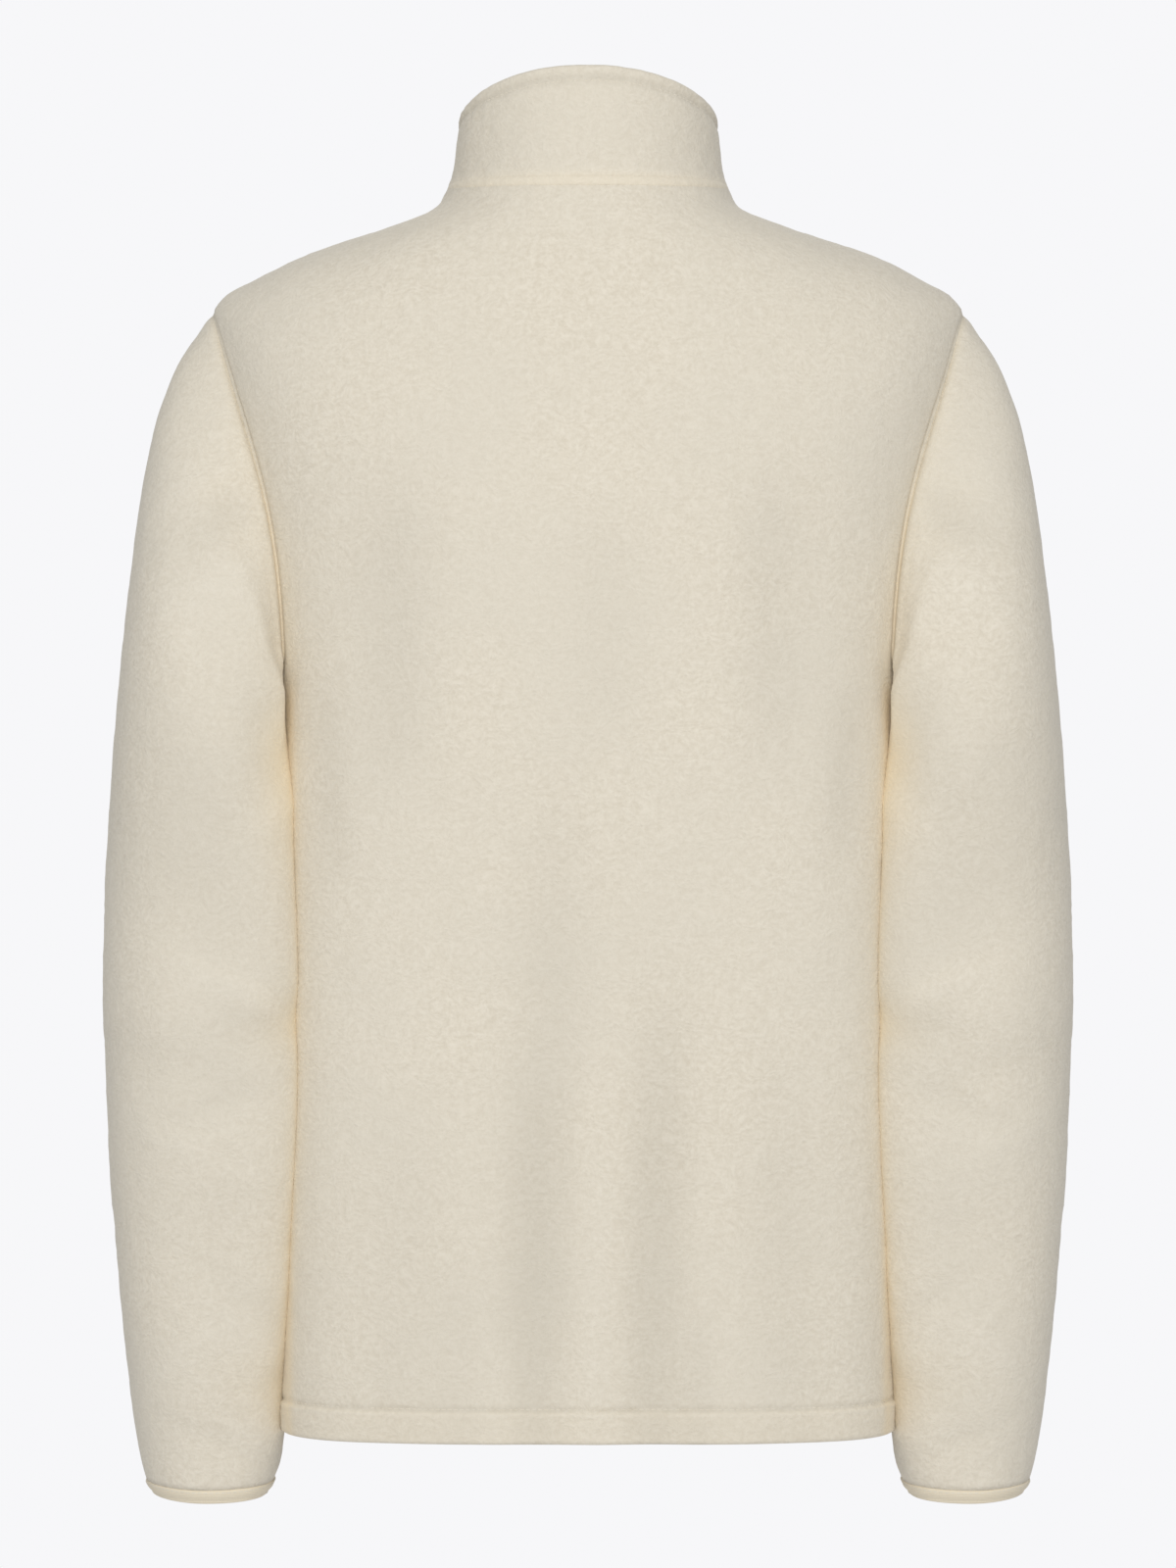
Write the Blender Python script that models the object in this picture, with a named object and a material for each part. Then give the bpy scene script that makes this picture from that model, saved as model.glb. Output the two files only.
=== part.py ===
"""A stand-collar fleece jacket with a full front zip, filled out as it is worn, with no wearer in it.

Metres, +Z up. The front faces -Y, the back +Y, and the wearer's left is +X. The origin lies on the
centre line at the height of the high points of the shoulders, where a wearer holds the jacket up.

The body is one smooth form, a stack of rings from hem to neck. Back and fronts are cut out of it
along the side seams, the armholes, the shoulder seams and the centre front. Each sleeve is a second
stack of rings that starts at the armhole, and the collar a third that starts at the neckline.
"""

import math
from collections import namedtuple

import bmesh
import bpy
import numpy as np

# Cloth and seams
FLEECE = 0.003  # one layer
HEM_FOLD = 0.005  # two layers, pressed by the stitching
HEM_DEPTH = 0.019  # how far the hem is turned up
COLLAR_FOLD = 0.0046  # two layers at the collar
SEAM_GAP = 0.0003
HALF_GAP = SEAM_GAP / 2

# Armhole: an oval in the side of the body, measured up from the armpit and round from the side
ARMHOLE_BACK = math.radians(28.5)
ARMHOLE_FRONT = math.radians(32.0)
ARMHOLE_LOW_ROUND = 0.035  # height of the rounded bottom
ARMHOLE_HIGH_ROUND = 0.158  # height of the rounded top
SHOULDER_SEAM_FORWARD = math.radians(8.0)  # the shoulder seam lies in front of the ridge

# Zip
SLOT_HALF = 0.0055  # from the centre line to the edge of each front
CHAIN_HALF = 0.0029
TAPE_WIDTH = 0.0150
TAPE_THICKNESS = 0.0008
CHAIN_THICKNESS = 0.0018
TAPE_DEPTH = FLEECE + SEAM_GAP  # below the outer face of the front
CHAIN_DEPTH = 0.0023
SLIDER_WIDTH = 0.0094
SLIDER_LENGTH = 0.0125
SLIDER_FACE = 0.0008  # how far its plate stands proud of the fleece
SLIDER_BACK = 0.0029  # its underside, below the fleece's outer face
SLIDER_BELOW_RIM = 0.0085  # from the collar's edge to the slider's middle
BRIDGE_WIDTH = 0.0016
BRIDGE_BAR = 0.0011
BRIDGE_LENGTH = 0.0088
BRIDGE_HEIGHT = 0.0041
PIVOT_HEIGHT = 0.0015  # the pull's crossbar above the slider's plate
PULL_THICKNESS = 0.0015
PULL_WIDTH = 0.0070
PULL_LENGTH = 0.0280
PULL_EYE_WIDTH = 0.0036
PULL_EYE_LENGTH = 0.0056
BOX_WIDTH = 0.0096
BOX_HEIGHT = 0.0120

# Cuff binding
BINDING_HEIGHT = 0.0080
BINDING_THICKNESS = 0.0034
BINDING_PULL_IN = 0.0022  # how much its lower edge draws the cuff in

# How finely each piece is divided
BACK_COLUMNS = 24
FRONT_COLUMNS = 12
SLEEVE_ROWS = 25
COLLAR_COLUMNS = 44
RIM_STEPS = 5
BINDING_STEPS = 4

# Rings of the body and the collar: heights at the side, centre back and centre front; half width
# at the side; depths at the centre; how square the ring is; and how soon its height leaves its side's
Ring = namedtuple(
    "Ring", "name side_z back_z front_z half_width back_depth front_depth square lean"
)
BODY_RINGS = (
    Ring("hem", -0.6825, -0.6835, -0.6835, 0.1712, 0.1170, 0.1180, 3.30, 3.00),
    Ring("hip", -0.5700, -0.5700, -0.5700, 0.1708, 0.1150, 0.1165, 3.35, 2.90),
    Ring("waist", -0.4400, -0.4400, -0.4400, 0.1706, 0.1130, 0.1140, 3.35, 2.80),
    Ring("ribs", -0.3400, -0.3390, -0.3400, 0.1712, 0.1150, 0.1170, 3.15, 2.72),
    Ring("armpit", -0.2700, -0.2690, -0.2720, 0.1755, 0.1172, 0.1210, 2.80, 2.62),
    Ring("blades", -0.1700, -0.1850, -0.1900, 0.1900, 0.1170, 0.1190, 2.45, 2.45),
    Ring("yoke", -0.1100, -0.1450, -0.1550, 0.2020, 0.1120, 0.1120, 2.35, 2.35),
    Ring("shoulder point", -0.0605, -0.1020, -0.1270, 0.2104, 0.1035, 0.1035, 2.25, 2.25),
    Ring("shoulder corner", -0.0518, -0.0920, -0.1190, 0.2048, 0.1012, 0.1015, 2.24, 2.24),
    Ring("outer shoulder", -0.0425, -0.0750, -0.1060, 0.1880, 0.0968, 0.0980, 2.22, 2.20),
    Ring("mid shoulder", -0.0275, -0.0460, -0.0850, 0.1570, 0.0895, 0.0925, 2.18, 2.05),
    Ring("inner shoulder", -0.0146, -0.0200, -0.0690, 0.1170, 0.0820, 0.0870, 2.12, 1.85),
    Ring("neck base", -0.0008, 0.0000, -0.0590, 0.0840, 0.0768, 0.0830, 2.06, 1.60),
    Ring("neck seam", 0.0095, 0.0075, -0.0550, 0.0780, 0.0745, 0.0810, 2.05, 1.50),
)
COLLAR_RINGS = (
    Ring("neck seam", 0.0095, 0.0075, -0.0550, 0.0780, 0.0745, 0.0810, 2.05, 1.50),
    Ring("low collar", 0.0190, 0.0230, -0.0410, 0.0758, 0.0728, 0.0798, 2.05, 1.44),
    Ring("mid collar", 0.0310, 0.0440, -0.0210, 0.0742, 0.0715, 0.0788, 2.06, 1.36),
    Ring("collar rim", 0.0480, 0.0735, 0.0050, 0.0722, 0.0702, 0.0778, 2.08, 1.25),
)

CORNER_SPREAD = 0.050  # how far the shoulder point's corner fades up and down the back and front
CORNER_SHARPNESS = 22.0  # how closely that corner keeps to the side

SleeveRing = namedtuple(
    "SleeveRing",
    "name outer_x outer_z inner_x inner_z middle_y back_depth front_depth squareness",
)
SLEEVE_RINGS = (
    SleeveRing("armhole", 0.2104, -0.0605, 0.1758, -0.2700, -0.001, 0.060, 0.066, 2.4),
    SleeveRing("cap top", 0.2178, -0.0715, 0.1772, -0.2712, 0.001, 0.065, 0.070, 2.35),
    SleeveRing("cap", 0.2315, -0.0930, 0.1748, -0.2780, 0.005, 0.069, 0.073, 2.3),
    SleeveRing("cap base", 0.2422, -0.1260, 0.1705, -0.2900, 0.011, 0.072, 0.075, 2.25),
    SleeveRing("upper arm", 0.2515, -0.1800, 0.1640, -0.3100, 0.019, 0.073, 0.075, 2.2),
    SleeveRing("biceps", 0.2590, -0.2460, 0.1570, -0.3420, 0.026, 0.072, 0.072, 2.2),
    SleeveRing("above elbow", 0.2647, -0.3120, 0.1525, -0.3800, 0.031, 0.070, 0.069, 2.2),
    SleeveRing("elbow top", 0.2681, -0.3780, 0.1500, -0.4180, 0.034, 0.068, 0.066, 2.2),
    SleeveRing("elbow", 0.2692, -0.4390, 0.1495, -0.4550, 0.036, 0.066, 0.064, 2.2),
    SleeveRing("forearm", 0.2676, -0.4880, 0.1500, -0.4930, 0.036, 0.064, 0.062, 2.2),
    SleeveRing("mid forearm", 0.2651, -0.5425, 0.1525, -0.5410, 0.035, 0.061, 0.059, 2.2),
    SleeveRing("low forearm", 0.2598, -0.6075, 0.1575, -0.6030, 0.033, 0.056, 0.054, 2.2),
    SleeveRing("wrist top", 0.2534, -0.6690, 0.1645, -0.6660, 0.030, 0.0485, 0.0465, 2.15),
    SleeveRing("wrist", 0.2488, -0.7018, 0.1702, -0.7018, 0.028, 0.0435, 0.0425, 2.1),
    SleeveRing("cuff", 0.2460, -0.7134, 0.1742, -0.7134, 0.028, 0.0415, 0.0405, 2.1),
)
INNER_SQUARENESS = 0.5  # how much squarer a sleeve is where it lies against the body
BODY_CLEARANCE = 0.0016  # between a sleeve and the side of the body

# Soft folds that hang on the body: troughs have a positive depth, ridges a negative one
BodyFold = namedtuple("BodyFold", "face top_x bottom_x top_z bottom_z half_width depth")
BODY_FOLDS = (
    BodyFold("back", 0.112, 0.108, -0.130, -0.360, 0.024, 0.0032),
    BodyFold("back", -0.107, -0.104, -0.120, -0.350, 0.022, 0.0030),
    BodyFold("back", 0.016, 0.031, -0.290, -0.740, 0.019, 0.0034),
    BodyFold("back", -0.044, -0.033, -0.390, -0.760, 0.017, 0.0042),
    BodyFold("back", -0.010, -0.012, -0.150, -0.330, 0.020, 0.0016),
    BodyFold("back", -0.006, -0.004, -0.440, -0.760, 0.014, -0.0018),
    BodyFold("back", 0.100, 0.112, -0.470, -0.760, 0.024, 0.0022),
    BodyFold("back", -0.104, -0.118, -0.430, -0.760, 0.022, 0.0026),
    BodyFold("front", 0.108, 0.092, -0.150, -0.400, 0.022, 0.0030),
    BodyFold("front", -0.102, -0.090, -0.160, -0.380, 0.024, 0.0028),
    BodyFold("front", 0.062, 0.074, -0.400, -0.760, 0.018, 0.0034),
    BodyFold("front", -0.056, -0.062, -0.360, -0.760, 0.019, 0.0038),
    BodyFold("front", 0.118, 0.122, -0.520, -0.760, 0.018, 0.0020),
    BodyFold("front", -0.116, -0.124, -0.480, -0.760, 0.020, 0.0024),
)

# Folds across the sleeves: the place by height and by angle round from the outer edge, 90 degrees
# being the back, with the slant as the drop of the fold for each degree round
SleeveFold = namedtuple("SleeveFold", "z angle slant half_height half_angle depth")
SLEEVE_FOLDS = (
    SleeveFold(-0.165, 105.0, -0.00040, 0.016, 48.0, 0.0022),
    SleeveFold(-0.148, 75.0, -0.00030, 0.018, 42.0, -0.0016),
    SleeveFold(-0.212, 88.0, -0.00050, 0.020, 42.0, -0.0018),
    SleeveFold(-0.292, 122.0, 0.00010, 0.046, 18.0, 0.0032),
    SleeveFold(-0.378, 80.0, 0.00060, 0.034, 55.0, 0.0026),
    SleeveFold(-0.456, 132.0, -0.00010, 0.015, 34.0, 0.0040),
    SleeveFold(-0.478, 78.0, 0.00025, 0.016, 44.0, 0.0018),
    SleeveFold(-0.560, 100.0, 0.00020, 0.030, 46.0, 0.0016),
    SleeveFold(-0.660, 130.0, -0.00020, 0.016, 40.0, 0.0018),
    SleeveFold(-0.180, 262.0, 0.00040, 0.020, 48.0, 0.0024),
    SleeveFold(-0.300, 226.0, -0.00010, 0.048, 22.0, 0.0036),
    SleeveFold(-0.390, 285.0, -0.00050, 0.030, 52.0, 0.0024),
    SleeveFold(-0.452, 226.0, 0.00010, 0.015, 40.0, 0.0046),
    SleeveFold(-0.470, 280.0, -0.00030, 0.015, 44.0, 0.0024),
    SleeveFold(-0.570, 262.0, -0.00020, 0.028, 46.0, 0.0018),
    SleeveFold(-0.668, 240.0, 0.00020, 0.015, 40.0, 0.0020),
)


# ---------------------------------------------------------------- curves and forms


def smoothstep(t):
    """0 below 0, 1 above 1, and a smooth rise between."""
    t = np.clip(t, 0.0, 1.0)
    return t * t * (3.0 - 2.0 * t)


def through(keys, values, at):
    """A cubic through the values at the keys that never swings past its neighbours."""
    step = np.diff(keys)
    slope = np.diff(values) / step
    product = slope[:-1] * slope[1:]
    tangent = np.concatenate([slope[:1], np.zeros(len(keys) - 2), slope[-1:]])
    total = np.where(product > 0.0, slope[:-1] + slope[1:], 1.0)
    tangent[1:-1] = np.where(product > 0.0, 2.0 * product / total, 0.0)
    left = np.clip(np.searchsorted(keys, at, side="right") - 1, 0, len(keys) - 2)
    t = (at - keys[left]) / step[left]
    rise, run = values[left + 1] - values[left], step[left]
    return (
        values[left]
        + rise * t * t * (3.0 - 2.0 * t)
        + run * t * (1.0 - t) * (tangent[left] * (1.0 - t) - tangent[left + 1] * t)
    )


def columns_of(rings):
    """Each column of a table of rings as an array, by its name."""
    return {
        field: np.array([getattr(ring, field) for ring in rings])
        for field in rings[0]._fields
        if field != "name"
    }


class RingForm:
    """A smooth closed form through a table of rings.

    `up` is the distance along its side, and `turn` the angle round it: 0 at the centre back, a right
    angle at the wearer's left side and two at the centre front, negative on the wearer's right. Each
    ring is a squared ellipse, whose height eases from its side to its centre back and front.
    """

    def __init__(self, rings):
        self.table = columns_of(rings)
        run = np.hypot(np.diff(self.table["half_width"]), np.diff(self.table["side_z"]))
        self.keys = np.concatenate([[0.0], np.cumsum(run)])
        self.names = [ring.name for ring in rings]

    def key(self, name):
        return self.keys[self.names.index(name)]

    def size(self, field, up):
        return through(self.keys, self.table[field], up)

    def size_round(self, field, turn, up):
        """A size that is exact at the side, and towards back and front is a mean over nearby rings."""
        at_side = self.size(field, up)
        room = np.minimum(up, self.keys[-1] - up)
        spread = CORNER_SPREAD * smoothstep(room / (2.0 * CORNER_SPREAD))
        places = np.linspace(-1.0, 1.0, 13)
        shares = (1.0 - np.abs(places) + 1.0 / 6.0) / (49.0 / 6.0)
        mean = sum(
            share * self.size(field, up + place * spread) for place, share in zip(places, shares)
        )
        return mean + (at_side - mean) * np.abs(np.sin(turn)) ** CORNER_SHARPNESS

    def points(self, turn, up):
        turn, up = np.broadcast_arrays(turn, up)
        size = {field: self.size_round(field, turn, up) for field in self.table}
        side, end = np.sin(turn), np.cos(turn)
        square = size["square"]
        reach = (np.abs(side) ** square + np.abs(end) ** square) ** (1.0 / square)
        depth = np.where(end > 0.0, size["back_depth"], size["front_depth"])
        end_z = np.where(end > 0.0, size["back_z"], size["front_z"])
        lean = (np.abs(end) / reach) ** size["lean"]
        x = size["half_width"] * side / reach
        y = depth * end / reach
        return np.stack([x, y, size["side_z"] + (end_z - size["side_z"]) * lean], axis=-1)

    def normals(self, turn, up):
        """Unit vectors out of the form, from small steps round it and up it."""
        step = 1e-4
        turn, up = np.broadcast_arrays(turn, up)
        last = self.keys[-1]
        around = self.points(turn + step, up) - self.points(turn - step, up)
        above = np.minimum(up + step, last)
        below = np.maximum(up - step, 0.0)
        along = self.points(turn, above) - self.points(turn, below)
        outward = np.cross(along, around)
        return outward / np.linalg.norm(outward, axis=-1, keepdims=True)


BODY = RingForm(BODY_RINGS)
COLLAR = RingForm(COLLAR_RINGS)
ARMPIT = BODY.key("armpit")
SHOULDER_POINT = BODY.key("shoulder point")
NECK = BODY.key("neck seam")
QUARTER = math.pi / 2


def fold_window(z, top, bottom):
    """1 between the ends of a fold and easing to 0 at each, over a third of its length."""
    ease = (top - bottom) / 3.0
    return smoothstep((top - z) / ease) * smoothstep((z - bottom) / ease)


def body_relief(points):
    """How far the folds move each point of the body's form out."""
    x, y, z = np.moveaxis(points, -1, 0)
    relief = np.zeros_like(x)
    for fold in BODY_FOLDS:
        along = (fold.top_z - z) / (fold.top_z - fold.bottom_z)
        middle = fold.top_x + (fold.bottom_x - fold.top_x) * along
        across = np.exp(-(((x - middle) / fold.half_width) ** 2))
        facing = smoothstep(y / 0.05) if fold.face == "back" else smoothstep(-y / 0.05)
        relief -= fold.depth * across * facing * fold_window(z, fold.top_z, fold.bottom_z)
    return relief


def folded_body(turn, up):
    """The body's outer face, with its folds, and the normals of the form under it."""
    points, normals = BODY.points(turn, up), BODY.normals(turn, up)
    return points + normals * body_relief(points)[..., None], normals


# ---------------------------------------------------------------- meshes


def grid_faces(rows, columns, closed):
    """Four-sided faces over a grid of points, which meets itself round if it is closed."""
    row, column = np.meshgrid(
        np.arange(rows - 1), np.arange(columns if closed else columns - 1), indexing="ij"
    )
    right = (column + 1) % columns
    return np.stack(
        [
            row * columns + column,
            row * columns + right,
            (row + 1) * columns + right,
            (row + 1) * columns + column,
        ],
        axis=-1,
    ).reshape(-1, 4)


def wall_mesh(name, outer, inner, closed=False):
    """A wall of cloth lofted between its outer and its inner points, with a rim along every edge."""
    rows, columns = outer.shape[:2]
    count = rows * columns
    faces = grid_faces(rows, columns, closed)
    index = np.arange(count).reshape(rows, columns)
    loops = [index[0], index[-1][::-1]]
    if not closed:
        loops = [
            np.concatenate([index[0], index[1:, -1], index[-1, -2::-1], index[-2:0:-1, 0]])
        ]
    rims = []
    for loop in loops:
        following = np.roll(loop, -1)
        rims.append(np.stack([following, loop, loop + count, following + count], axis=-1))
    every = np.concatenate([faces, faces[:, ::-1] + count, *rims])
    points = np.concatenate([outer.reshape(-1, 3), inner.reshape(-1, 3)])
    return mesh_of(name, points, every)


def band_mesh(name, sections, closed):
    """A band swept along a row of closed sections, with flat ends if it doesn't meet itself."""
    stations, corners = sections.shape[:2]
    index = np.arange(stations * corners).reshape(stations, corners)
    faces = []
    for station in range(stations if closed else stations - 1):
        here, there = index[station], index[(station + 1) % stations]
        faces.append(np.stack([here, np.roll(here, -1), np.roll(there, -1), there], axis=-1))
    faces = np.concatenate(faces).tolist()
    if not closed:
        faces += [index[0][::-1].tolist(), index[-1].tolist()]
    return mesh_of(name, sections.reshape(-1, 3), faces)


def mesh_of(name, points, faces):
    """A closed mesh with its faces turned outwards."""
    mesh = bpy.data.meshes.new(name)
    mesh.from_pydata(
        [tuple(point) for point in points], [], [tuple(int(i) for i in face) for face in faces]
    )
    form = bmesh.new()
    form.from_mesh(mesh)
    bmesh.ops.recalc_face_normals(form, faces=form.faces)
    form.to_mesh(mesh)
    form.free()
    return mesh


# ---------------------------------------------------------------- materials and objects


def material(name, colour, roughness, metallic=0.0):
    made = bpy.data.materials.new(name)
    made.use_nodes = True
    shader = made.node_tree.nodes["Principled BSDF"]
    shader.inputs["Base Color"].default_value = (*colour, 1.0)
    shader.inputs["Roughness"].default_value = roughness
    shader.inputs["Metallic"].default_value = metallic
    return made


def clear_scene():
    for thing in list(bpy.data.objects):
        bpy.data.objects.remove(thing, do_unlink=True)


def collection(name):
    made = bpy.data.collections.new(name)
    bpy.context.scene.collection.children.link(made)
    return made


def add_object(name, mesh, look, group):
    thing = bpy.data.objects.new(name, mesh)
    mesh.materials.append(look)
    mesh.shade_smooth()
    mesh.set_sharp_from_angle(angle=math.radians(40))
    group.objects.link(thing)
    return thing


# ---------------------------------------------------------------- cut lines


def armhole_rows():
    """Places up the side between armpit and shoulder point, even round the armhole's oval."""
    height = SHOULDER_POINT - ARMPIT
    low = ARMHOLE_LOW_ROUND * (1.0 - np.cos(np.linspace(0.0, QUARTER, 5)))
    straight = height - ARMHOLE_HIGH_ROUND
    high = straight + ARMHOLE_HIGH_ROUND * np.sin(np.linspace(0.0, QUARTER, 8))
    return ARMPIT + np.concatenate([low, high])


def armhole_share(up):
    """How much of its full width the armhole has on each side at this height: two quarter ovals."""
    height = SHOULDER_POINT - ARMPIT
    above = np.clip(up - ARMPIT, 0.0, height)
    low = np.clip(1.0 - above / ARMHOLE_LOW_ROUND, 0.0, 1.0)
    high = np.clip((above - height + ARMHOLE_HIGH_ROUND) / ARMHOLE_HIGH_ROUND, 0.0, 1.0)
    return np.sqrt(np.maximum(1.0 - low**2, 0.0)) * np.sqrt(np.maximum(1.0 - high**2, 0.0))


def body_rows():
    """Places up the side for every row of the back and the fronts, from hem to neckline."""
    hem = np.array([0.0, 0.25 * HEM_DEPTH, 0.97 * HEM_DEPTH, 1.10 * HEM_DEPTH])
    side = np.linspace(1.10 * HEM_DEPTH, ARMPIT, 15)[1:]
    shoulder = np.linspace(SHOULDER_POINT, NECK - HALF_GAP, 9)[1:]
    return np.concatenate([hem, side, armhole_rows()[1:], shoulder])


def seam_turn(up, armhole):
    """The angle of the side seam, of the armhole's edge and of the shoulder seam, from hem to neck."""
    run = (up - SHOULDER_POINT) / (NECK - SHOULDER_POINT)
    forward = SHOULDER_SEAM_FORWARD * smoothstep(run / 0.12)
    return QUARTER + armhole * armhole_share(up) + forward


def eased_turn(up, armhole):
    """The edge's angle with the armhole's ends drawn out, which the inner columns keep to."""
    opening = smoothstep((up - ARMPIT + 0.075) / 0.120)
    closing = smoothstep((SHOULDER_POINT + 0.030 - up) / 0.170)
    return QUARTER + armhole * opening * closing


def spread(centre, eased, edge, share):
    """Columns from the centre to the edge: even up to the last ones, which reach to the edge."""
    return centre + (eased - centre) * share + (edge - eased) * share**14


def half_gap_turn(up):
    """The angle that opens half a seam's gap at the side of the body."""
    return HALF_GAP / BODY.size("back_depth", up)


def hem_wall(up):
    """The wall's thickness: two layers up to the hem's stitching, then one."""
    above = smoothstep((up - 0.97 * HEM_DEPTH) / (0.13 * HEM_DEPTH))
    return HEM_FOLD + (FLEECE - HEM_FOLD) * above


def hem_proud(up):
    """How far the doubled hem stands out of the body's face."""
    return 0.25 * (hem_wall(up) - FLEECE)


def centre_turn(offset, form, up):
    """The angle at a sideways distance from the centre front."""
    return math.pi - offset / form.size("half_width", up)


# ---------------------------------------------------------------- body panels


def panel(turn, up):
    outer, normals = folded_body(turn, up)
    outer = outer + normals * hem_proud(up)[..., None]
    return outer, outer - normals * hem_wall(up)[..., None]


def back_panel():
    up = body_rows()[:, None]
    edge = seam_turn(up, -ARMHOLE_BACK) - half_gap_turn(up)
    across = np.linspace(-1.0, 1.0, BACK_COLUMNS + 1)[None, :]
    turn = np.sign(across) * spread(0.0, eased_turn(up, -ARMHOLE_BACK), edge, np.abs(across))
    turn, up = np.broadcast_arrays(turn, up)
    return panel(turn, up)


def front_panel(side):
    """One front, from its side seam to the zip; side is 1 for the wearer's left and -1 for the right."""
    up = body_rows()[:, None]
    edge = seam_turn(up, ARMHOLE_FRONT) + half_gap_turn(up)
    centre = centre_turn(SLOT_HALF, BODY, up)
    across = np.linspace(1.0, 0.0, FRONT_COLUMNS + 1)[None, :]
    turn = spread(centre, eased_turn(up, ARMHOLE_FRONT), edge, across)
    turn, up = np.broadcast_arrays(turn, up)
    return panel(side * turn, up)


# ---------------------------------------------------------------- sleeves


def armhole_loop():
    """Points round the left armhole, down the back from the shoulder point and up the front.

    They lie on the edge of the body panels, moved into the hole by the seam's gap, with the
    normals of the body's form.
    """
    rows = armhole_rows()
    back = seam_turn(rows, -ARMHOLE_BACK)[::-1]
    front = seam_turn(rows, ARMHOLE_FRONT)[1:-1]
    turn = np.concatenate([back, front])
    up = np.concatenate([rows[::-1], rows[1:-1]])
    points, normals = folded_body(turn, up)
    along = np.roll(points, -1, axis=0) - np.roll(points, 1, axis=0)
    inward = np.cross(normals, along)
    inward /= np.linalg.norm(inward, axis=-1, keepdims=True)
    towards_middle = points.mean(axis=0) - points
    inward *= np.sign((inward * towards_middle).sum(axis=-1))[:, None]
    return points + inward * SEAM_GAP, normals


def sleeve_ring(angle, place, table, keys):
    """Points round the sleeve's squared ellipse at this place along it."""
    size = {field: through(keys, values, place) for field, values in table.items()}
    outer, back = np.cos(angle), np.sin(angle)
    square = size["squareness"] + INNER_SQUARENESS * smoothstep(-2.0 * outer)
    reach = (np.abs(outer) ** square + np.abs(back) ** square) ** (1.0 / square)
    depth = np.where(back > 0.0, size["back_depth"], size["front_depth"])
    half = 0.5 * outer / reach
    x = (size["outer_x"] + size["inner_x"]) / 2 + half * (size["outer_x"] - size["inner_x"])
    z = (size["outer_z"] + size["inner_z"]) / 2 + half * (size["outer_z"] - size["inner_z"])
    return np.stack([x, size["middle_y"] + depth * back / reach, z], axis=-1)


def clear_of_body(points, clearance):
    """Points moved out sideways where they would come nearer than this to the body's side."""
    x, y, z = np.moveaxis(points, -1, 0)
    up = np.interp(z, BODY.table["side_z"][:8], BODY.keys[:8])
    depth = np.where(y > 0.0, BODY.size("back_depth", up), BODY.size("front_depth", up))
    square = BODY.size("square", up)
    inside = np.clip(1.0 - (np.abs(y) / depth) ** square, 0.0, 1.0)
    side = BODY.size("half_width", up) * inside ** (1.0 / square) + clearance
    soft = 0.003  # the stretch over which the sleeve comes to lie along the body
    nearness = x - side
    moved = side + 0.5 * (nearness + np.sqrt(nearness**2 + soft**2))
    return np.stack([moved, y, z], axis=-1)


def sleeve_relief(points, angle):
    """How far the folds move each point of the sleeve out."""
    z, degrees = points[..., 2], np.degrees(angle) % 360.0
    relief = np.zeros_like(z)
    for fold in SLEEVE_FOLDS:
        round_from = (degrees - fold.angle + 180.0) % 360.0 - 180.0
        drop = (z - fold.z + fold.slant * round_from) / fold.half_height
        relief -= fold.depth * np.exp(-(drop**2) - (round_from / fold.half_angle) ** 2)
    return relief


def grid_normals(points):
    """Unit vectors out of a grid that is closed round."""
    around = np.roll(points, -1, axis=1) - np.roll(points, 1, axis=1)
    along = np.gradient(points, axis=0)
    outward = np.cross(along, around)
    return outward / np.linalg.norm(outward, axis=-1, keepdims=True)


def sleeve_grid():
    """Outer points and inward directions of the left sleeve, a row for each ring down it."""
    table = columns_of(SLEEVE_RINGS)
    middle_x = (table["outer_x"] + table["inner_x"]) / 2
    middle_z = (table["outer_z"] + table["inner_z"]) / 2
    run = np.hypot(np.diff(middle_x), np.diff(middle_z))
    keys = np.concatenate([[0.0], np.cumsum(run)])
    length = keys[-1]
    loop, body_normals = armhole_loop()
    columns = len(loop)

    share = np.linspace(0.0, 1.0, SLEEVE_ROWS + 1)
    place = (length * (0.45 * share + 0.55 * share**1.55))[:, None]
    centre = np.array([middle_x[0], table["middle_y"][0], middle_z[0]])
    half = np.array([table["outer_x"][0], 0.0, table["outer_z"][0]]) - centre * (1, 0, 1)
    seen = loop - centre
    depth = np.where(seen[:, 1] > 0.0, table["back_depth"][0], table["front_depth"][0])
    start = np.arctan2(seen[:, 1] / depth, seen @ half / (half @ half)) % (2.0 * math.pi)
    start[0] = 0.0
    even = np.arange(columns) * 2.0 * math.pi / columns
    angle = start + (even - start) * smoothstep(place / (0.45 * length))

    grid = sleeve_ring(angle, place, table, keys)
    misfit = loop - grid[0]
    from_seam = place / length
    grid = grid + misfit * (1.0 - smoothstep(from_seam / 0.22))[..., None]
    normals = grid_normals(grid)
    fade = smoothstep(from_seam / 0.08) * smoothstep((1.0 - from_seam) / 0.05)
    grid = grid + normals * (sleeve_relief(grid, angle) * fade)[..., None]
    near = smoothstep(place / 0.05)
    kept_clear = clear_of_body(grid, BODY_CLEARANCE * (0.2 + 0.8 * near))
    grid = grid + (kept_clear - grid) * smoothstep(place / 0.012)[..., None]
    grid[0] = loop

    normals = grid_normals(grid)
    normals[0] += body_normals
    normals[-1, :, 2] = 0.0  # so the cuff's edge is level
    return grid, normals / np.linalg.norm(normals, axis=-1, keepdims=True)


def mirrored(points, side):
    return points * np.array([side, 1.0, 1.0])


# ---------------------------------------------------------------- collar and cuffs


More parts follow.
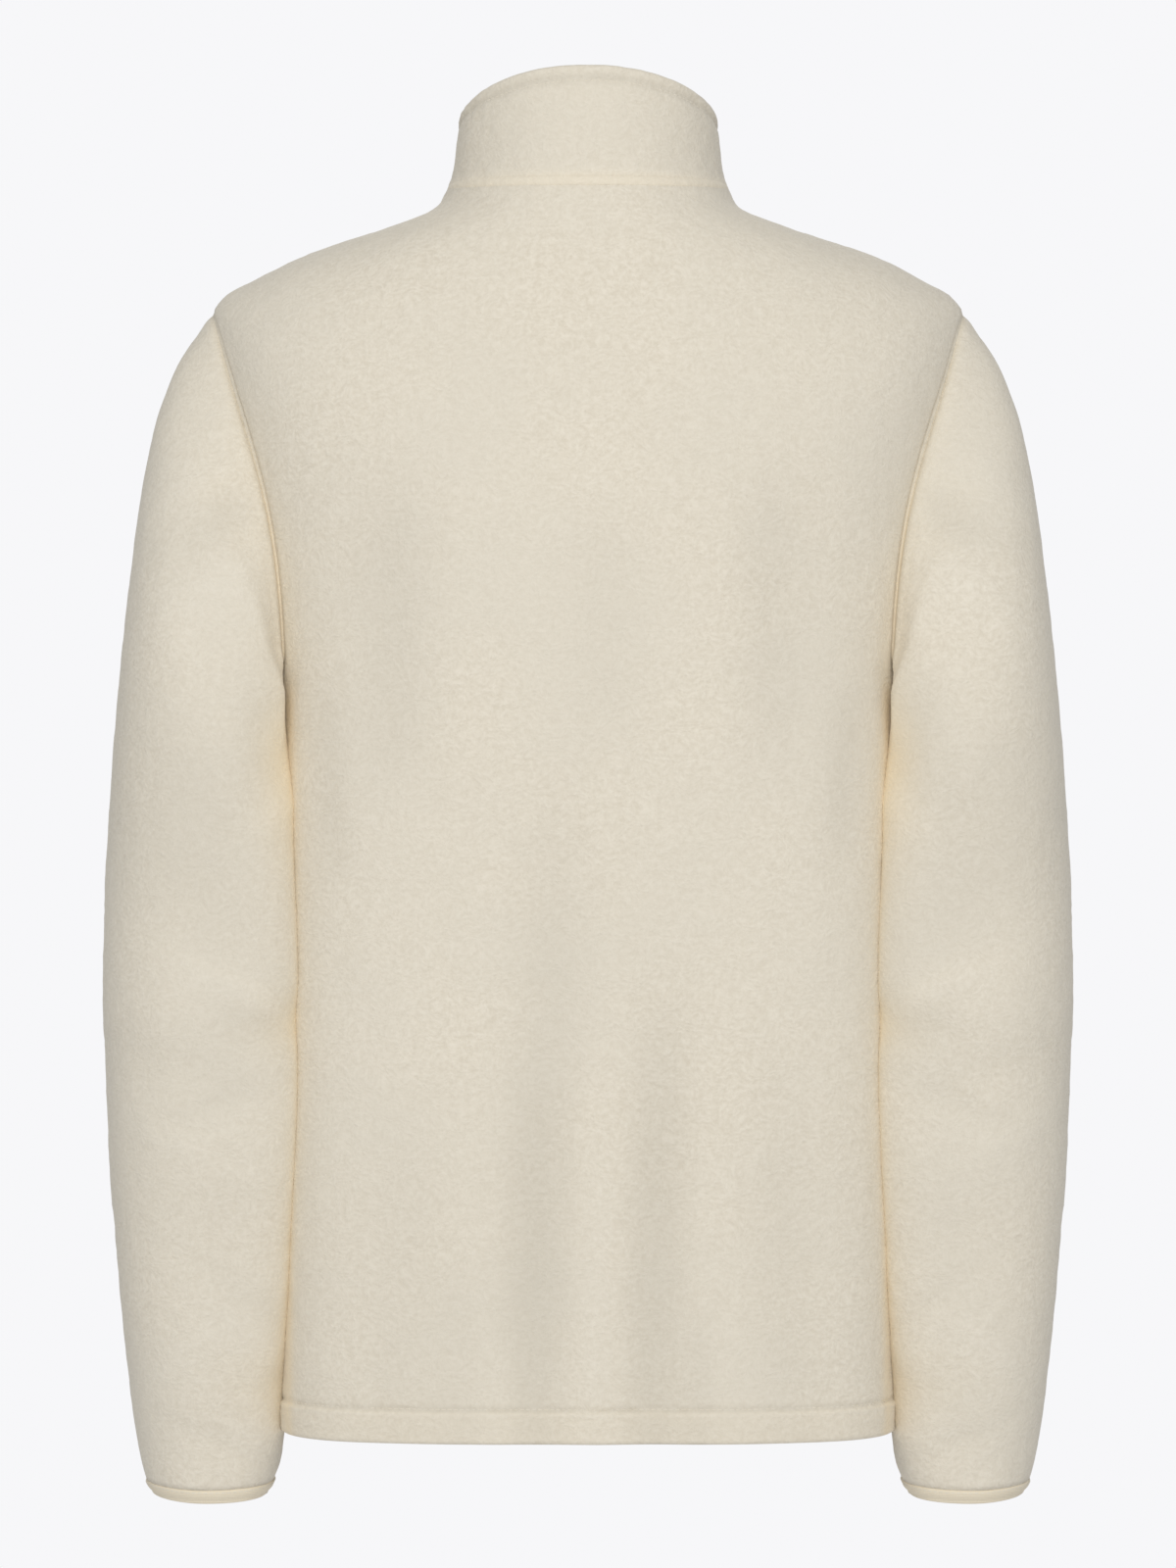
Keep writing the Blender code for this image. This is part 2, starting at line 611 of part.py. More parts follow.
def collar_sections():
    """A closed section at each place round the collar: up its outer face, over and down inside."""
    rise = COLLAR.keys[-1]
    centre = centre_turn(SLOT_HALF, COLLAR, np.array([0.0, rise / 2, rise]))[0]
    turn = np.linspace(-centre, centre, COLLAR_COLUMNS + 1)
    near_zip = smoothstep((np.abs(turn) - 0.80 * math.pi) / (0.11 * math.pi))
    fold = COLLAR_FOLD + (FLEECE - COLLAR_FOLD) * near_zip
    rim = 0.5 * fold
    up = np.linspace(0.0, 1.0, 5)[None, :] * (rise - rim[:, None] - HALF_GAP) + HALF_GAP
    outer = COLLAR.points(turn[:, None], up)
    normals = COLLAR.normals(turn[:, None], up)
    inner = outer - normals * fold[:, None, None]
    top_out, top_in = outer[:, -1], inner[:, -1]
    middle, radius = (top_out + top_in) / 2, (top_out - top_in) / 2
    climb = outer[:, -1] - outer[:, -2]
    climb *= (rim / np.linalg.norm(climb, axis=-1))[:, None]
    arc = np.linspace(0.0, math.pi, RIM_STEPS + 1)[1:-1]
    over = (
        middle[:, None]
        + radius[:, None] * np.cos(arc)[None, :, None]
        + climb[:, None] * np.sin(arc)[None, :, None]
    )
    return np.concatenate([outer, over, inner[:, ::-1]], axis=1)


def binding_sections(end_ring, normals):
    """A closed section at each column of the cuff: straight above, and rounded below."""
    half = BINDING_THICKNESS / 2
    middle = end_ring - normals * FLEECE / 2
    inward = end_ring.mean(axis=0) - end_ring
    inward[:, 2] = 0.0
    inward /= np.linalg.norm(inward, axis=-1, keepdims=True)
    down = np.array([0.0, 0.0, -1.0])
    top = middle + down * SEAM_GAP
    drop = BINDING_HEIGHT - SEAM_GAP - half
    low = top + down * drop + inward * BINDING_PULL_IN
    arc = np.linspace(0.0, math.pi, BINDING_STEPS + 1)[None, :, None]
    below = low[:, None] - inward[:, None] * half * np.cos(arc) + down * half * np.sin(arc)
    above = np.stack([top + inward * half, top - inward * half], axis=1)
    return np.concatenate([above, below], axis=1)


# ---------------------------------------------------------------- zip


def zip_line():
    """Rows up the centre front, as (form, places up it): the body's, then the collar's."""
    rise = COLLAR.keys[-1]
    body = body_rows()
    collar = np.linspace(0.0, rise - 0.5 * FLEECE, 5)
    return ((BODY, body[1:]), (COLLAR, collar))


def front_face(form, offset, up):
    """Points of the front's outer face at a sideways distance from the centre, and its normals."""
    turn = centre_turn(offset, form, up)
    points, normals = form.points(turn, up), form.normals(turn, up)
    if form is BODY:
        points = points + normals * (body_relief(points) + hem_proud(up))[..., None]
    return points, normals


def strip_sections(left, right, outer_depth, thickness, lowest, highest):
    """Sections of a flat strip down the front: sideways limits, and depths under the fleece."""
    rows = []
    for form, places in zip_line():
        places = places[:, None]
        points, normals = front_face(form, np.array([[left, right]]), places)
        depth = outer_depth + (hem_wall(places) - FLEECE if form is BODY else 0.0 * places)
        near = points - normals * depth[..., None]
        far = near - normals * thickness
        rows.append(np.concatenate([near, far[:, ::-1]], axis=1))
    rows[0] = rows[0][:-1]
    sections = np.concatenate(rows)
    height = sections[..., 2].mean(axis=1)
    kept = (height > lowest) & (height < highest)
    bottom = at_height(sections, height, lowest)
    top = at_height(sections, height, highest)
    return np.concatenate([bottom[None], sections[kept], top[None]])


def at_height(sections, height, level):
    """The section at this height, between the rows above and below it."""
    above = int(np.clip(np.searchsorted(height, level), 1, len(height) - 1))
    share = (level - height[above - 1]) / (height[above] - height[above - 1])
    return sections[above - 1] + share * (sections[above] - sections[above - 1])


def centre_front(level):
    """How far forward the fleece's outer face lies at the centre front, at this height."""
    points = [front_face(form, 0.0, places)[0] for form, places in zip_line()]
    line = np.concatenate(points)
    return float(np.interp(level, line[:, 2], line[:, 1]))


def block(name, size, middle, bevel):
    """A rounded block with its middle at this place."""
    form = bmesh.new()
    bmesh.ops.create_cube(form, size=1.0)
    bmesh.ops.scale(form, vec=size, verts=form.verts)
    bmesh.ops.translate(form, vec=middle, verts=form.verts)
    bmesh.ops.bevel(form, geom=form.edges[:], offset=bevel, segments=2, affect="EDGES")
    mesh = bpy.data.meshes.new(name)
    form.to_mesh(mesh)
    form.free()
    return mesh


def rounded_outline(width, height, radius, steps=2):
    """Corners of a rounded rectangle round its own middle, anticlockwise."""
    corners = []
    for corner, (way_x, way_y) in enumerate(((1, 1), (-1, 1), (-1, -1), (1, -1))):
        centre_x = way_x * (width / 2 - radius)
        centre_y = way_y * (height / 2 - radius)
        for step in range(steps + 1):
            angle = (corner + step / steps) * QUARTER
            corners.append(
                (centre_x + radius * math.cos(angle), centre_y + radius * math.sin(angle))
            )
    return corners


def plate(name, outlines, thickness, bevel):
    """A flat plate with the outlines after the first cut out of it, as a mesh in the XY plane."""
    curve = bpy.data.curves.new(name, "CURVE")
    curve.dimensions = "2D"
    curve.fill_mode = "BOTH"
    curve.extrude = thickness / 2 - bevel
    curve.bevel_depth = bevel
    curve.bevel_resolution = 0
    curve.offset = -bevel
    for outline in outlines:
        spline = curve.splines.new("POLY")
        spline.points.add(len(outline) - 1)
        spline.points.foreach_set("co", [v for x, y in outline for v in (x, y, 0.0, 1.0)])
        spline.use_cyclic_u = True
    holder = bpy.data.objects.new(name, curve)
    bpy.context.scene.collection.objects.link(holder)
    graph = bpy.context.evaluated_depsgraph_get()
    mesh = bpy.data.meshes.new_from_object(holder.evaluated_get(graph))
    bpy.data.objects.remove(holder, do_unlink=True)
    form = bmesh.new()
    form.from_mesh(mesh)
    bmesh.ops.remove_doubles(form, verts=form.verts, dist=1e-6)
    bmesh.ops.recalc_face_normals(form, faces=form.faces)
    form.to_mesh(mesh)
    form.free()
    return mesh


def shifted(outline, x, y):
    return [(px + x, py + y) for px, py in outline]


def slider_middle():
    """The slider's middle: its height, and the forward face of the fleece there."""
    rim = COLLAR.table["front_z"][-1]
    level = rim - SLIDER_BELOW_RIM
    return level, centre_front(level)


def make_slider(look, parts, cutters):
    """The slider's body, with a bridge along it that holds the pull's crossbar."""
    level, face = slider_middle()
    front, rear = face - SLIDER_FACE, face + SLIDER_BACK
    body = block(
        "zip_slider",
        (SLIDER_WIDTH, rear - front, SLIDER_LENGTH),
        (0.0, (front + rear) / 2, level),
        0.0006,
    )
    slider = add_object("zip_slider", body, look, parts)
    sunk = 0.0010
    tall = BRIDGE_HEIGHT + sunk
    outline = rounded_outline(tall, BRIDGE_LENGTH, 0.0012)
    window_tall = BRIDGE_HEIGHT - BRIDGE_BAR
    window = rounded_outline(window_tall + sunk, BRIDGE_LENGTH - 2.0 * BRIDGE_BAR, 0.0006)
    window = shifted(window, (window_tall - sunk) / 2 - (BRIDGE_HEIGHT - sunk) / 2 - 0.0002, 0.0)
    bridge = plate("bridge", [outline, window], BRIDGE_WIDTH, 0.0002)
    # The plate's x runs forward from the slider's plate, its y runs up, and it stands on edge.
    outward = (BRIDGE_HEIGHT - sunk) / 2
    form = bmesh.new()
    form.from_mesh(bridge)
    for point in form.verts:
        x, y, z = point.co
        point.co = (z, front - outward - x, level + y)
    bmesh.ops.recalc_face_normals(form, faces=form.faces)
    form.to_mesh(bridge)
    form.free()
    helper = add_object("bridge", bridge, look, cutters)
    helper.hide_render = True
    helper.display_type = "WIRE"
    joined = slider.modifiers.new("bridge", "BOOLEAN")
    joined.operation = "UNION"
    joined.solver = "EXACT"
    joined.object = helper
    return slider


def make_pull(look, parts):
    """The pull tab, which hangs from its crossbar; its origin is on the crossbar's axis."""
    level, face = slider_middle()
    pivot = (0.0, face - SLIDER_FACE - PIVOT_HEIGHT, level)
    bar = PULL_THICKNESS
    tab = rounded_outline(PULL_WIDTH, PULL_LENGTH, 0.0016)
    tab = shifted(tab, 0.0, bar / 2 - PULL_LENGTH / 2)
    eye = rounded_outline(PULL_EYE_WIDTH, PULL_EYE_LENGTH, 0.0006)
    eye = shifted(eye, 0.0, -bar / 2 - PULL_EYE_LENGTH / 2)
    grip = rounded_outline(PULL_WIDTH - 0.0034, PULL_LENGTH * 0.36, 0.0012)
    grip = shifted(grip, 0.0, -PULL_LENGTH * 0.70)
    mesh = plate("zip_pull", [tab, eye, grip], PULL_THICKNESS, 0.0003)
    pull = add_object("zip_pull", mesh, look, parts)
    pull.rotation_euler = (QUARTER, 0.0, 0.0)
    pull.location = pivot
    return pull


# ---------------------------------------------------------------- the jacket


def make_cloth(looks, parts):
    outer, inner = back_panel()
    add_object("back", wall_mesh("back", outer, inner), looks["fleece"], parts)
    for side, word in ((1, "left"), (-1, "right")):
        outer, inner = front_panel(side)
        name = f"front_{word}"
        add_object(name, wall_mesh(name, outer, inner), looks["fleece"], parts)

    grid, normals = sleeve_grid()
    inner = grid - normals * FLEECE
    cuff = binding_sections(grid[-1], normals[-1])
    for side, word in ((1, "left"), (-1, "right")):
        name = f"sleeve_{word}"
        mesh = wall_mesh(name, mirrored(grid, side), mirrored(inner, side), closed=True)
        add_object(name, mesh, looks["fleece"], parts)
        name = f"cuff_binding_{word}"
        mesh = band_mesh(name, mirrored(cuff, side), closed=True)
        add_object(name, mesh, looks["binding"], parts)

    collar = band_mesh("collar", collar_sections(), closed=False)
    add_object("collar", collar, looks["fleece"], parts)


def make_zip(looks, parts, cutters):
    hem = float(BODY.table["front_z"][0])
    rim = float(COLLAR.table["front_z"][-1])
    box_top = hem + 0.0035 + BOX_HEIGHT
    tape_left, tape_right = CHAIN_HALF + SEAM_GAP, CHAIN_HALF + SEAM_GAP + TAPE_WIDTH
    for side, word in ((1, "left"), (-1, "right")):
        name = f"zip_tape_{word}"
        sections = strip_sections(
            tape_left, tape_right, TAPE_DEPTH, TAPE_THICKNESS, hem + 0.0035, rim - 0.003
        )
        mesh = band_mesh(name, mirrored(sections, side), closed=False)
        add_object(name, mesh, looks["tape"], parts)

    level, _ = slider_middle()
    slider_bottom = level - SLIDER_LENGTH / 2
    sections = strip_sections(
        -CHAIN_HALF,
        CHAIN_HALF,
        CHAIN_DEPTH,
        CHAIN_THICKNESS,
        box_top + SEAM_GAP,
        slider_bottom - SEAM_GAP,
    )
    add_object("zip_chain", band_mesh("zip_chain", sections, closed=False), looks["coil"], parts)

    middle = box_top - BOX_HEIGHT / 2
    face = centre_front(middle)
    box = block(
        "zip_box", (BOX_WIDTH, 0.0032, BOX_HEIGHT), (0.0, face + 0.0012, middle), 0.0006
    )
    add_object("zip_box", box, looks["metal"], parts)
    make_slider(looks["metal"], parts, cutters)
    make_pull(looks["metal"], parts)


def main():
    clear_scene()
    parts = collection("fleece_jacket")
    cutters = collection("cutters")
    looks = {
        "fleece": material("cream fleece", (0.745, 0.678, 0.565), 0.95),
        "binding": material("elastic binding", (0.790, 0.690, 0.520), 0.80),
        "tape": material("zip tape", (0.720, 0.650, 0.520), 0.85),
        "coil": material("zip coil", (0.700, 0.630, 0.500), 0.45),
        "metal": material("coated zip metal", (0.690, 0.620, 0.490), 0.40, 0.3),
    }
    make_cloth(looks, parts)
    make_zip(looks, parts, cutters)


main()
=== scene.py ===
"""The looks of a cream fleece jacket, filled out as it is worn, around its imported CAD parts.

Metres, +Z up; the zip faces -Y and the back +Y, and the wearer's left is +X. Every cloth piece is a
thin shell on the form of its CAD solid: rings from hem to neck for the body, from armhole to cuff for
a sleeve, and from neckline to rim for the collar. Folds, seams and stitch lines move that shell in and
out, and the pile comes from its material.
"""

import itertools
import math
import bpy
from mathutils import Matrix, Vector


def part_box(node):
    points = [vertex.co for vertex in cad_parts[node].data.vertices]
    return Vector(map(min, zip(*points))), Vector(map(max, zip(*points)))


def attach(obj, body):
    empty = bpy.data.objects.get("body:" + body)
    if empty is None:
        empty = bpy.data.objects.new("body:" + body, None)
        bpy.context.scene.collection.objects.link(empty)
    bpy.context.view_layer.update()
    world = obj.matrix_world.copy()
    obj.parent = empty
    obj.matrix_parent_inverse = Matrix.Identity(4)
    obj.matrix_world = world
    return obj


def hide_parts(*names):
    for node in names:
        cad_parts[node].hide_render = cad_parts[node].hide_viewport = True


bl_info = {
    "name": "Fleece Jacket",
    "version": (1, 0, 0),
    "blender": (4, 5, 0),
    "location": "3D View > Sidebar > Fleece Jacket",
    "description": "Builds the cloth, seams, zip and stage of a fleece jacket",
    "category": "Add Mesh",
}

from collections import namedtuple

import bpy
import numpy as np

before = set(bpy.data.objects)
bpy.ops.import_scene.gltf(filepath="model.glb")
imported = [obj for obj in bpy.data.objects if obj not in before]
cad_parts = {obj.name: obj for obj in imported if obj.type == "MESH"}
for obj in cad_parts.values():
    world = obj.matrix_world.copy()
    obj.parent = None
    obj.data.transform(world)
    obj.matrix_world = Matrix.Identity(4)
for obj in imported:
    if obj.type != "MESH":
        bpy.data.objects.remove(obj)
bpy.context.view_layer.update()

QUARTER = math.pi / 2
FULL_TURN = 2.0 * math.pi
DOWN = np.array([0.0, 0.0, -1.0])
NORMAL_STEP = 1e-4  # the step from which a form's normals are taken

# Cloth and seams, as cut
FLEECE = 0.0030
HEM_FOLD = 0.0050
HEM_DEPTH = 0.0190
HEM_STEP = (0.97, 0.13)  # where the hem's second layer starts to end, and its run, in hem depths
HEM_PROUD = 0.25  # share of the second layer's thickness that shows outside
HEM_EDGE = 0.0025  # height over which the hem's lower edge is rounded
HEM_EDGE_LOSS = 0.46  # share of the wall that the rounding takes from each face
HEM_BAND = 0.026  # height of the fine rows at the hem
NECK_BAND = 0.006  # height of the fine rows at the neckline
COLLAR_FOLD = 0.0046
COLLAR_SINGLE = (0.80, 0.11)  # where the fold starts to thin beside the zip, and its run, in half turns
SEAM_GAP = 0.00002  # between the rolled edges of two pieces
ARMHOLE_BACK = math.radians(28.5)
ARMHOLE_FRONT = math.radians(32.0)
ARMHOLE_LOW_ROUND = 0.016
ARMHOLE_HIGH_ROUND = 0.158
SHOULDER_SEAM_FORWARD = math.radians(8.0)
SHOULDER_SEAM_EASE = 0.12  # share of the shoulder over which its seam moves forward
EDGE_FINENESS = 0.45  # how much finer a panel's columns lie at its edges
STEADY_TURN = math.radians(48.0)  # how far from a panel's middle its columns run straight up
STEADY_SHARE = 0.66
CORNER_SPREAD = 0.050
CORNER_SHARPNESS = 22.0
CORNER_PLACES = 13  # nearby rings in each mean
INNER_SQUARENESS = 0.65  # how much squarer the sleeves are on their inner side
STEADY_PILE = 0.25  # share of the pile's unevenness that stays at a seam
GRID_STEP = 0.0035  # a panel's step across, which times the puckers of its hem
BODY_CLEARANCE = -0.0024  # the pile of a sleeve sinks into the body's
CONTACT_SOFTNESS = 0.003
FACE_EASE = 0.05  # how far from the side a fold of the back or front has its full depth

# The unevenness of the cloth: the height, the size of its cubes and the seed of each layer of noise
UNEVEN_LAYERS = ((0.00035, 0.0340, 3), (0.00022, 0.0105, 5), (0.00022, 0.0042, 8))
CELL_PRIMES = np.array([73856093, 19349663, 83492791])
SEED_PRIME = 15485863
MIXING_PRIME = 1274126177

# Zip
SLOT_HALF = 0.0055
CHAIN_HALF = 0.0029
CHAIN_DEPTH = 0.0023
CHAIN_THICKNESS = 0.0018

# Cuff binding
BINDING_HEIGHT = 0.0080
BINDING_THICKNESS = 0.0034
BINDING_PULL_IN = 0.0034
# The binding's thickness down its height: where it is full, its share at the top, how much it gains,
# and how much it loses again towards its lower edge
BINDING_BELLY = (0.34, 0.60, 0.44, 0.10)
CUFF_RISE = 0.0028  # how much higher the cuff's edge lies at its sides than at its back
CUFF_RISE_RUN = 0.045  # how far up the sleeve that rise reaches

# Sleeve
SEAM_BAND = 0.006  # the fine rows at the armhole
FIT_RUN = 0.22  # share of the sleeve over which its form takes up the armhole's shape
TURN_RUN = 0.45  # share over which the points of the armhole spread evenly round
FREE_RUN = 0.012  # how far from the armhole the sleeve is fully clear of the body
SLACK_RUN = 0.008  # how far from the armhole the slack at its foot is full
FOLD_FADE = (0.08, 0.05)  # shares of the sleeve in which its folds fade, at armhole and cuff
CREASE_FADE = (0.03, 0.02)  # the same for its fine creases, in metres
CUFF_ROLL = 0.3  # how much of a seam's roll there is at the cuff
THIN_REACH = (0.045, 0.075)  # where the wall at the armhole's foot is thinned, and where it is full
THIN_SHARE = 0.95  # how much of that wall goes, where the fold is too tight for it


def rows_of(kind, *rows):
    """A table whose rows are all of one kind."""
    return tuple(kind(*row) for row in rows)


Ring = namedtuple(
    "Ring", "name side_z back_z front_z half_width back_depth front_depth square lean"
)
BODY_RINGS = rows_of(
    Ring,
    ("hem", -0.6825, -0.6835, -0.6835, 0.1712, 0.1170, 0.1180, 3.95, 3.00),
    ("hip", -0.5700, -0.5700, -0.5700, 0.1708, 0.1150, 0.1165, 4.05, 2.90),
    ("waist", -0.4400, -0.4400, -0.4400, 0.1706, 0.1130, 0.1140, 4.00, 2.80),
    ("ribs", -0.3400, -0.3390, -0.3400, 0.1712, 0.1150, 0.1170, 3.90, 2.72),
    ("armpit", -0.2700, -0.2690, -0.2720, 0.1755, 0.1172, 0.1210, 2.98, 2.62),
    ("blades", -0.1700, -0.1850, -0.1900, 0.1900, 0.1170, 0.1190, 2.45, 2.45),
    ("yoke", -0.1100, -0.1450, -0.1550, 0.2020, 0.1120, 0.1120, 2.35, 2.35),
    ("shoulder point", -0.0612, -0.1020, -0.1270, 0.2104, 0.1035, 0.1035, 2.25, 2.25),
    ("shoulder corner", -0.0520, -0.0920, -0.1190, 0.2046, 0.1012, 0.1015, 2.24, 2.24),
    ("outer shoulder", -0.0425, -0.0750, -0.1060, 0.1880, 0.0968, 0.0980, 2.22, 2.20),
    ("mid shoulder", -0.0275, -0.0460, -0.0850, 0.1570, 0.0895, 0.0925, 2.18, 2.05),
    ("inner shoulder", -0.0146, -0.0200, -0.0690, 0.1170, 0.0820, 0.0870, 2.12, 1.85),
    ("neck base", -0.0008, 0.0000, -0.0590, 0.0840, 0.0768, 0.0830, 2.06, 1.60),
    ("neck seam", 0.0095, 0.0075, -0.0550, 0.0788, 0.0745, 0.0810, 2.05, 1.50),
)
COLLAR_RINGS = rows_of(
    Ring,
    ("neck seam", 0.0095, 0.0075, -0.0550, 0.0788, 0.0745, 0.0810, 2.05, 1.50),
    ("low collar", 0.0190, 0.0230, -0.0410, 0.0758, 0.0728, 0.0798, 2.05, 1.44),
    ("mid collar", 0.0310, 0.0440, -0.0210, 0.0742, 0.0715, 0.0788, 2.06, 1.36),
    ("collar rim", 0.0480, 0.0735, 0.0050, 0.0722, 0.0702, 0.0778, 2.08, 1.25),
)
SleeveRing = namedtuple(
    "SleeveRing",
    "name outer_x outer_z inner_x inner_z middle_y back_depth front_depth squareness",
)
SLEEVE_RINGS = rows_of(
    SleeveRing,
    ("armhole", 0.2104, -0.0612, 0.1758, -0.2700, -0.001, 0.060, 0.066, 2.4),
    ("cap top", 0.2182, -0.0715, 0.1772, -0.2712, 0.001, 0.065, 0.070, 2.35),
    ("cap", 0.2315, -0.0930, 0.1748, -0.2780, 0.005, 0.069, 0.073, 2.3),
    ("cap base", 0.2422, -0.1260, 0.1675, -0.2885, 0.012, 0.073, 0.075, 2.25),
    ("upper arm", 0.2515, -0.1800, 0.1600, -0.3080, 0.020, 0.074, 0.075, 2.2),
    ("biceps", 0.2590, -0.2460, 0.1548, -0.3410, 0.026, 0.073, 0.072, 2.2),
    ("above elbow", 0.2647, -0.3120, 0.1525, -0.3800, 0.031, 0.070, 0.069, 2.2),
    ("elbow top", 0.2681, -0.3780, 0.1500, -0.4180, 0.034, 0.068, 0.066, 2.2),
    ("elbow", 0.2692, -0.4390, 0.1495, -0.4550, 0.036, 0.066, 0.064, 2.2),
    ("forearm", 0.2676, -0.4880, 0.1500, -0.4930, 0.036, 0.064, 0.062, 2.2),
    ("mid forearm", 0.2651, -0.5425, 0.1525, -0.5410, 0.035, 0.061, 0.059, 2.2),
    ("low forearm", 0.2598, -0.6075, 0.1575, -0.6030, 0.033, 0.056, 0.054, 2.2),
    ("wrist top", 0.2534, -0.6690, 0.1645, -0.6660, 0.030, 0.0485, 0.0465, 2.15),
    ("wrist", 0.2488, -0.7018, 0.1702, -0.7018, 0.028, 0.0435, 0.0425, 2.1),
    ("cuff", 0.2460, -0.7134, 0.1742, -0.7134, 0.028, 0.0415, 0.0405, 2.1),
)

# Folds that hang on the body: troughs have a positive depth, ridges a negative one
BodyFold = namedtuple("BodyFold", "face top_x bottom_x top_z bottom_z half_width depth")
BODY_FOLDS = rows_of(
    BodyFold,
    ("back", 0.112, 0.108, -0.130, -0.360, 0.024, 0.0032),
    ("back", -0.107, -0.104, -0.120, -0.350, 0.022, 0.0030),
    ("back", 0.016, 0.031, -0.290, -0.740, 0.019, 0.0034),
    ("back", -0.044, -0.033, -0.390, -0.760, 0.017, 0.0042),
    ("back", -0.010, -0.012, -0.150, -0.330, 0.020, 0.0016),
    ("back", -0.006, -0.004, -0.440, -0.760, 0.014, -0.0018),
    ("back", 0.100, 0.112, -0.470, -0.760, 0.024, 0.0022),
    ("back", -0.104, -0.118, -0.430, -0.760, 0.022, 0.0026),
    ("front", 0.108, 0.092, -0.150, -0.400, 0.022, 0.0030),
    ("front", -0.102, -0.090, -0.160, -0.380, 0.024, 0.0028),
    ("front", 0.062, 0.074, -0.400, -0.760, 0.018, 0.0034),
    ("front", -0.056, -0.062, -0.360, -0.760, 0.019, 0.0038),
    ("front", 0.118, 0.122, -0.520, -0.760, 0.018, 0.0020),
    ("front", -0.116, -0.124, -0.480, -0.760, 0.020, 0.0024),
)
SleeveFold = namedtuple("SleeveFold", "z angle slant half_height half_angle depth")
SLEEVE_FOLDS = rows_of(
    SleeveFold,
    (-0.165, 105.0, -0.00040, 0.016, 48.0, 0.0022),
    (-0.148, 75.0, -0.00030, 0.018, 42.0, -0.0016),
    (-0.212, 88.0, -0.00050, 0.020, 42.0, -0.0018),
    (-0.292, 122.0, 0.00010, 0.046, 18.0, 0.0032),
    (-0.378, 80.0, 0.00060, 0.034, 55.0, 0.0026),
    (-0.456, 132.0, -0.00010, 0.015, 34.0, 0.0040),
    (-0.478, 78.0, 0.00025, 0.016, 44.0, 0.0018),
    (-0.560, 100.0, 0.00020, 0.030, 46.0, 0.0016),
    (-0.660, 130.0, -0.00020, 0.016, 40.0, 0.0018),
    (-0.180, 262.0, 0.00040, 0.020, 48.0, 0.0024),
    (-0.300, 226.0, -0.00010, 0.048, 22.0, 0.0036),
    (-0.390, 285.0, -0.00050, 0.030, 52.0, 0.0024),
    (-0.452, 226.0, 0.00010, 0.015, 40.0, 0.0046),
    (-0.470, 280.0, -0.00030, 0.015, 44.0, 0.0024),
    (-0.570, 262.0, -0.00020, 0.028, 46.0, 0.0018),
    (-0.668, 240.0, 0.00020, 0.015, 40.0, 0.0020),
)

# Creases finer than the folds of the solids, on the same two tables' terms
FINE_BODY_CREASES = rows_of(
    BodyFold,
    ("back", 0.030, 0.031, -0.450, -0.760, 0.016, 0.0015),
    ("back", -0.037, -0.034, -0.440, -0.760, 0.014, 0.0010),
    ("back", -0.062, -0.058, -0.600, -0.740, 0.009, 0.0012),
    ("back", 0.046, 0.050, -0.620, -0.740, 0.010, -0.0010),
    ("back", 0.074, 0.070, -0.560, -0.720, 0.014, 0.0008),
    ("back", 0.150, 0.138, -0.250, -0.400, 0.012, 0.0014),
    ("back", -0.148, -0.136, -0.255, -0.390, 0.011, 0.0014),
    ("front", 0.030, 0.034, -0.600, -0.740, 0.010, 0.0010),
    ("front", -0.032, -0.030, -0.580, -0.740, 0.011, 0.0012),
    ("front", 0.146, 0.132, -0.255, -0.400, 0.012, 0.0014),
    ("front", -0.144, -0.130, -0.250, -0.410, 0.012, 0.0014),
)
# The slack that fills the hollow where the sleeve leaves the armhole's foot
ARMPIT_FOLDS = rows_of(
    SleeveFold,
    (-0.270, 138.0, 0.00000, 0.017, 22.0, -0.0048),
    (-0.274, 222.0, 0.00000, 0.017, 22.0, -0.0050),
)
FINE_SLEEVE_CREASES = rows_of(
    SleeveFold,
    (-0.200, 122.0, -0.00020, 0.046, 20.0, -0.0020),
    (-0.328, 84.0, 0.00060, 0.034, 44.0, 0.0018),
    (-0.165, 80.0, -0.00030, 0.030, 30.0, 0.0008),
    (-0.300, 150.0, -0.00060, 0.012, 26.0, 0.0012),
    (-0.335, 140.0, -0.00060, 0.012, 26.0, -0.0010),
    (-0.440, 112.0, 0.00050, 0.008, 34.0, -0.0012),
    (-0.498, 96.0, -0.00040, 0.008, 34.0, 0.0010),
    (-0.520, 70.0, 0.00050, 0.010, 30.0, -0.0008),
    (-0.610, 118.0, 0.00060, 0.010, 34.0, 0.0008),
    (-0.636, 76.0, -0.00050, 0.010, 34.0, -0.0008),
    (-0.684, 92.0, 0.00030, 0.007, 44.0, 0.0008),
    (-0.310, 236.0, 0.00050, 0.012, 26.0, 0.0012),
    (-0.436, 250.0, -0.00050, 0.009, 34.0, -0.0012),
    (-0.494, 262.0, 0.00040, 0.009, 34.0, 0.0012),
    (-0.612, 248.0, -0.00050, 0.010, 34.0, 0.0010),
    (-0.640, 284.0, 0.00050, 0.010, 34.0, -0.0008),
)

